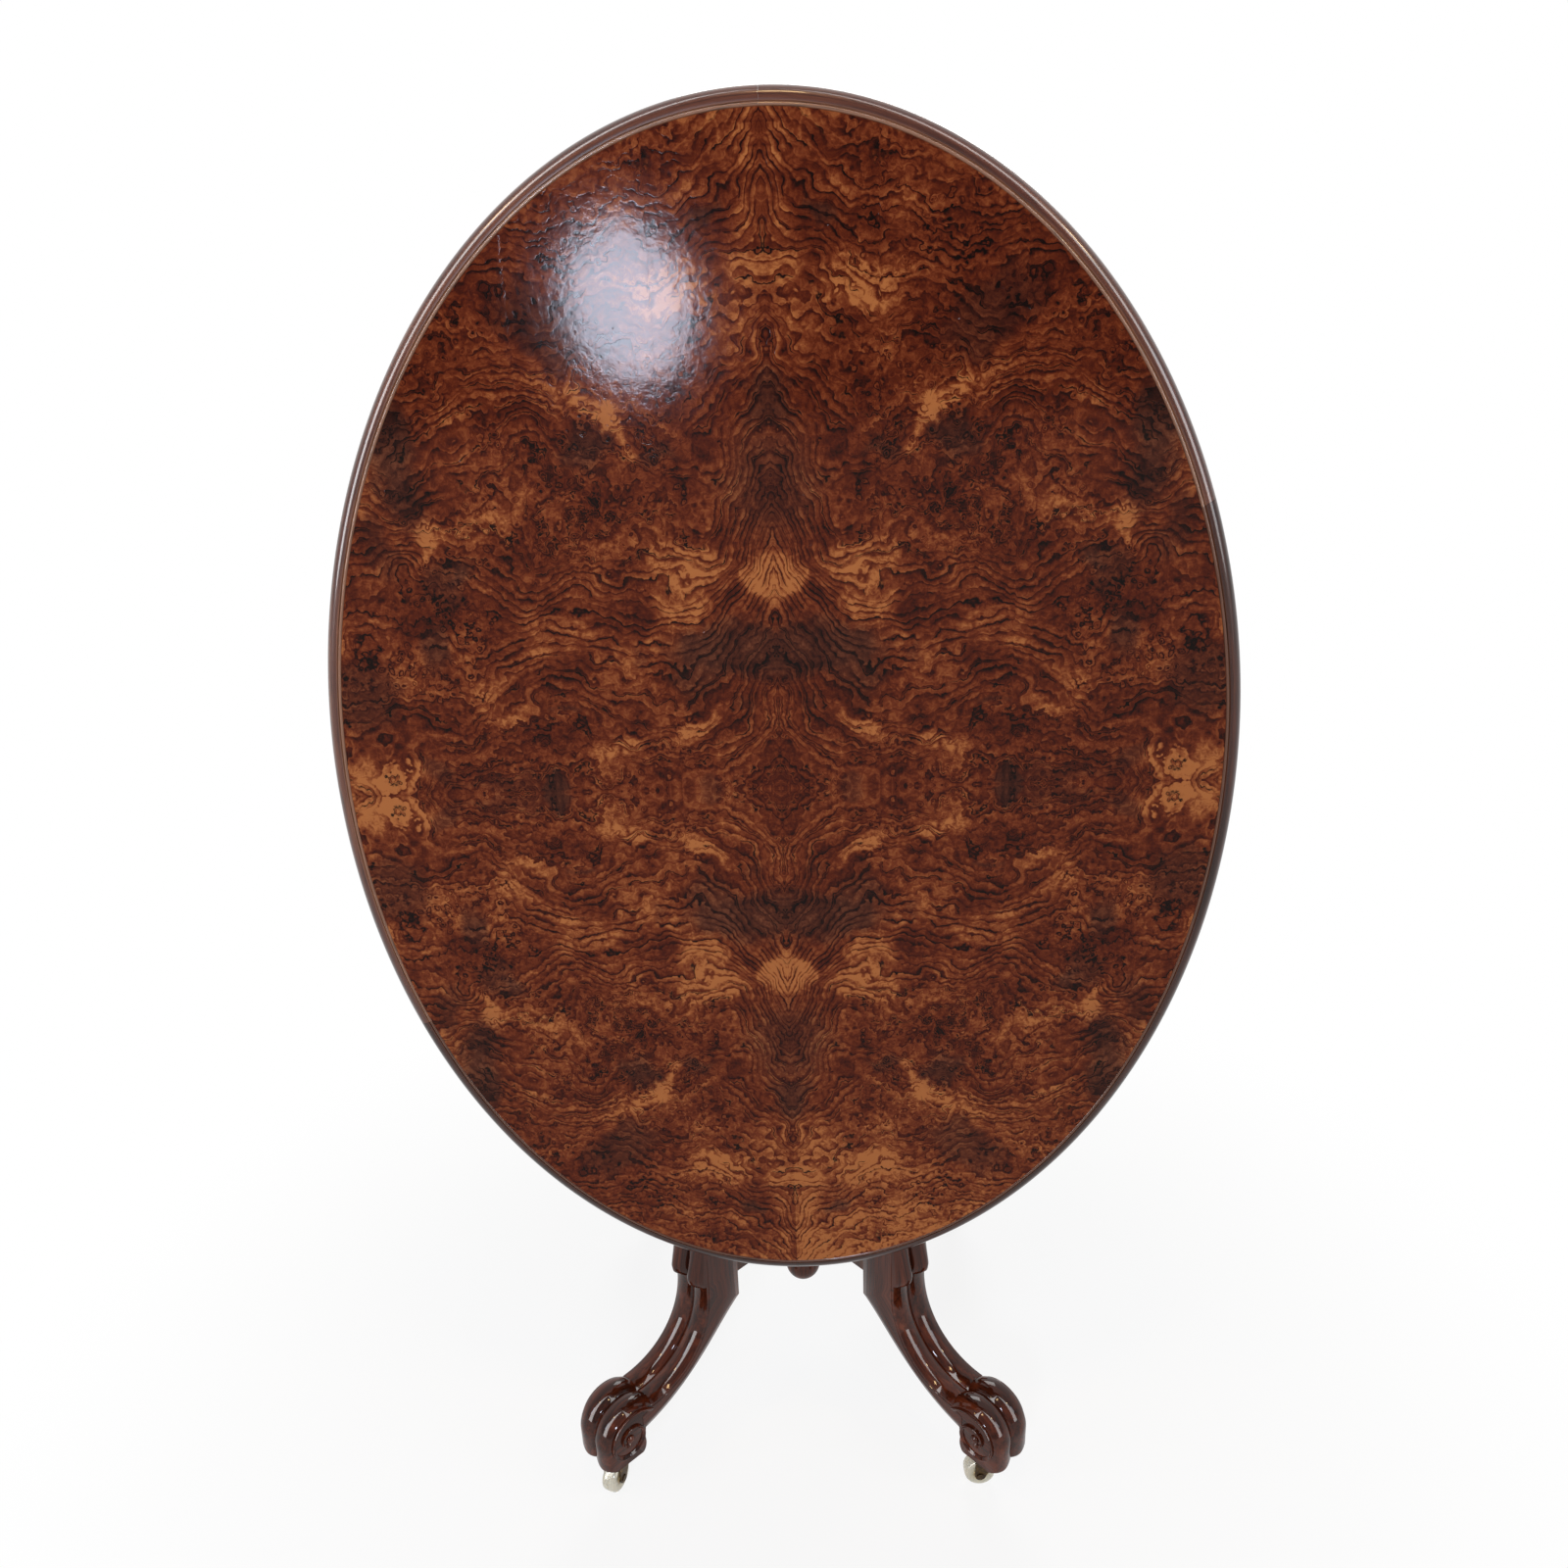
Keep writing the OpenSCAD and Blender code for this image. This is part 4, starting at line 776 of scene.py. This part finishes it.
def voluteShell(side):
    # a band with a sharp outer ridge and a hollow inner slope, wound in round the eye
    a = np.linspace(0, 1, 130)
    turn = leg["start"] - 360 * leg["turns"] * a
    radius = leg["winding"] * (1 - 0.78 * a ** 1.6) + widening(turn)
    wide = leg["band"] * (1 - 0.45 * a)
    share = np.array([0, 0, 0.05, 0.16, 0.3, 0.45, 0.62, 0.8, 1, 1])
    lift = np.array([-0.4, 0.7, 0.92, 1, 0.93, 0.72, 0.48, 0.26, 0.1, -0.4])
    ends = np.minimum(1, np.minimum(a * 40 + 0.3, (1 - a) * 22 + 0.1))
    r = radius[:, None] - wide[:, None] * share
    y = side * (leg["half"] - 0.4 + np.where(lift > 0, lift * leg["volute"] * ends[:, None], lift)
                + 0.4 * (lift > 0))
    angle = np.radians(turn)[:, None]
    points = np.stack([leg["scrollAt"] + r * np.cos(angle), y, leg["scrollZ"] + r * np.sin(angle)], -1)
    return sweptShell(points), points.reshape(-1, 3)


def eyeShell(side):
    # the raised eye of the volute, a low dome
    r, high = leg["winding"] * 0.22 * 0.85, leg["volute"] * 1.3
    k = np.linspace(0, np.pi / 2, 10)[:-1]
    profile = np.vstack([[[0, -1]], np.stack([r * np.cos(k), high * np.sin(k)], -1), [[0, high]]])
    points, faces = turnedShell(profile, 32)
    points = np.stack([leg["scrollAt"] + points[:, 0], side * (leg["half"] - 0.2 + points[:, 2]),
                       leg["scrollZ"] + points[:, 1]], -1)
    return (points, faces), points


for corner, (sx, sy) in corners.items():
    made = [legShell(), scrollShell()]
    made += [shell(side) for side in (-1, 1) for shell in (voluteShell, eyeShell)]
    points, faces = joined([shell for shell, grain in made])
    # each leg shows another stretch of the grain
    grain = np.vstack([grain for shell, grain in made]) + (sx * 40, sy * 30, 0)
    turn = np.arctan2(sy, sx)
    spin = np.array([[np.cos(turn), np.sin(turn), 0], [-np.sin(turn), np.cos(turn), 0], [0, 0, 1]])
    addPiece("carved_leg_" + corner, "base", points @ spin, faces, {"grain": grain}, woods["legs"],
             ["leg_" + corner], sharp=32)
print("legs carved")

castor = {"wheelR": 17.5, "wheelWide": 18, "trail": 11, "bore": 2.55,
          "turn": {"front_right": 183, "front_left": -112, "back_left": 128, "back_right": 64}}


def wheelProfile():
    # a barrel-shaped tread with a fine groove, dished sides and a thickened hub
    r, w, b = castor["wheelR"], castor["wheelWide"] / 2, castor["bore"]
    q = np.linspace(0, np.pi / 2, 10)
    rounding = np.stack([r - 3.0 + 2.9 * np.sin(q), -w + 0.5 + 4.9 * (1 - np.cos(q))], -1)
    left = np.vstack([[[b, -w], [6.5, -w], [7.2, -w + 0.9], [11, -w + 1.2], [r - 3.6, -w + 0.3]],
                      rounding, [[r, -1.5], [r, -0.6], [r - 0.6, -0.2]]])
    return np.vstack([left, left[::-1] * (1, -1)])


for corner, (sx, sy) in corners.items():
    points, faces = turnedShell(wheelProfile(), 80)
    grain = np.stack([np.hypot(points[:, 0], points[:, 1]), points[:, 2], points[:, 2]], -1)
    heading = np.radians(castor["turn"][corner])
    way = np.array([np.cos(heading), np.sin(heading), 0])
    across = np.array([-way[1], way[0], 0])
    at = leg["scrollAt"] / np.sqrt(2)
    centre = np.array([sx * at, sy * at, castor["wheelR"]]) + castor["trail"] * way
    points = centre + points[:, :1] * way + points[:, 1:2] * (0, 0, 1) + points[:, 2:] * across
    addPiece("china_wheel_" + corner, "wheel_" + corner, points, faces, {"grain": grain}, china,
             ["castor_wheel_" + corner], sharp=40)
print("castors made")


def seenBy(add, *rays):
    # 1 on rays of any of these kinds
    path = add("LightPath")
    seen = path.outputs[rays[0]]
    for kind in rays[1:]:
        seen = add("Math MAXIMUM", {0: seen, 1: path.outputs[kind]})
    return seen


studio = {"floor": "#f4f4f2", "walls": "#eef1f5", "world": 0.42, "stripAside": 0.95, "stripHalf": 0.19,
          "stripLight": 12.0, "rightStrip": 0.85, "floorReach": 30.0, "nearFloor": 0.85}
world = bpy.data.worlds.new("studio")
bpy.context.scene.world = world
world.use_nodes = True
world.node_tree.nodes.clear()
add = partial(addNode, world.node_tree)
# camera and transmitted rays see white; the polish sees a studio that is bright behind the table and
# dimmer where the camera stands
way = add("SeparateXYZ", {0: add("TexCoord").outputs["Generated"]})
depth = add("MapRange", {"From Min": -0.5, "From Max": 0.35, "To Min": 0.15, "To Max": 1.0,
                         "Value": way.outputs[1]})
white = seenBy(add, "Is Camera Ray", "Is Transmission Ray")
glossyRay = seenBy(add, "Is Glossy Ray")
# two tall windows stand in it, to the left and the right of the front; only the polish shows them
front = add("Math MULTIPLY", {0: way.outputs[1], 1: -1})
aside = add("Math ARCTAN2", {0: way.outputs[0], 1: front})
aside = add("Math ABSOLUTE", {0: aside})
off = add("Math SUBTRACT", {0: aside, 1: studio["stripAside"]})
off = add("Math ABSOLUTE", {0: off})
strip = add("MapRange", {"From Min": studio["stripHalf"], "From Max": studio["stripHalf"] * 0.7,
                         "Value": off})
side = add("MapRange", {"From Min": -0.1, "From Max": 0.1, "To Min": 1.0, "To Max": studio["rightStrip"],
                        "Value": way.outputs[0]})
for part in (side, glossyRay):
    strip = add("Math MULTIPLY", {0: strip, 1: part})
bright = add("Math MULTIPLY_ADD", {0: strip, 1: studio["stripLight"], 2: 1.0})
glossy = add("Math MULTIPLY", {0: glossyRay, 1: depth})
for part in (glossy, strip):
    white = add("Math MAXIMUM", {0: white, 1: part})
plain = add("Background", {"Color": toLinear(studio["walls"]), "Strength": studio["world"]})
clear = add("Background", {"Color": (1, 1, 1, 1), "Strength": bright})
mix = add("MixShader", {0: white, 1: plain, 2: clear})
add("OutputWorld", {"Surface": mix})

# the floor is matt near the feet, where it keeps the shadow, and passes into plain white farther out
floorMaterial, add, shader = newMaterial("paleFloor", {})
floorMaterial.node_tree.nodes.clear()
seen = seenBy(add, "Is Camera Ray", "Is Transmission Ray", "Is Glossy Ray")
place = add("TexCoord").outputs["Object"]
away = add("VectorMath LENGTH", {0: place}).outputs["Value"]
far = add("MapRange", {**smooth, "From Min": 0.35, "From Max": 1.1, "To Min": studio["nearFloor"],
                       "To Max": 1.0, "Value": away})
share = add("Math MULTIPLY", {0: seen, 1: far})
matt = add("BsdfDiffuse", {"Color": toLinear(studio["floor"])})
glow = add("Emission", {"Color": (1, 1, 1, 1), "Strength": 1.0})
total = add("MixShader", {0: share, 1: matt, 2: glow})
add("OutputMaterial", {"Surface": total})
mesh = bpy.data.meshes.new("floor")
reach = studio["floorReach"]
mesh.from_pydata([(-reach, -reach, 0), (reach, -reach, 0), (reach, reach, 0), (-reach, reach, 0)],
                 [], [(0, 1, 2, 3)])
mesh.materials.append(floorMaterial)
newObject("floor", mesh)


def softLamp(name, place, aim, wide, tall, watts, colour, shape="RECTANGLE", lean=0):
    # a flat lamp that looks at a point, turned about its axis by the lean in degrees
    lamp = bpy.data.lights.new(name, "AREA")
    lamp.shape = shape
    lamp.size, lamp.size_y = wide, tall
    lamp.energy = watts
    lamp.color = toLinear(colour)[:3]
    facing = (Vector(aim) - Vector(place)).to_track_quat("-Z", "Y").to_matrix().to_4x4()
    newObject(name, lamp).matrix_world = (Matrix.Translation(place) @ facing
                                          @ Matrix.Rotation(np.radians(lean), 4, "Z"))


softLamp("window", (-0.41, -2.15, 1.37), (-0.1, -0.19, 1.27), 0.29, 0.37, 18.5, "#dfe9ff", "ELLIPSE", 16)
softLamp("leftWindow", (-2.6, -1.4, 1.5), (0, 0, 0.6), 0.35, 1.1, 9, "#e2ecff")
softLamp("rightWindow", (2.6, -1.2, 1.7), (0, 0, 0.6), 0.3, 1.0, 7, "#f0f2ff")
softLamp("ceiling", (0.05, -0.9, 3.2), (0, 0, 0.8), 0.3, 0.2, 6, "#ffd79c")
softLamp("upperLeft", (-1.5, -0.9, 2.6), (0, 0, 0.8), 0.2, 0.2, 4, "#ffd08a")
softLamp("upperRight", (1.7, -0.9, 2.5), (0, 0, 0.8), 0.2, 0.2, 4, "#ffe0a8")
softLamp("behind", (0.3, 3.0, 2.0), (0, 0, 0.7), 1.5, 1.5, 45, "#f4f4f2")

# the photograph's view: metres, degrees, and a focal length of 1155 px where the frame is 1600 px
view = {"at": (0.040, -1.172, 1.2162), "down": 20.24, "aside": 2.17, "roll": -1.89, "sensor": 36,
        "focal": 1155, "frame": 1600, "clip": 100}
pose = Matrix.Translation(view["at"])
for degrees, axis in ((view["aside"], "Z"), (90 - view["down"], "X"), (view["roll"], "Z")):
    pose = pose @ Matrix.Rotation(np.radians(degrees), 4, axis)
lens = bpy.data.cameras.new("camera")
lens.sensor_width = view["sensor"]
lens.lens = view["focal"] / view["frame"] * view["sensor"]
lens.clip_end = view["clip"]
camera = newObject("camera", lens)
camera.matrix_world = pose
bpy.context.scene.camera = camera
bpy.context.scene.view_settings.view_transform = "Standard"
print("studio set")
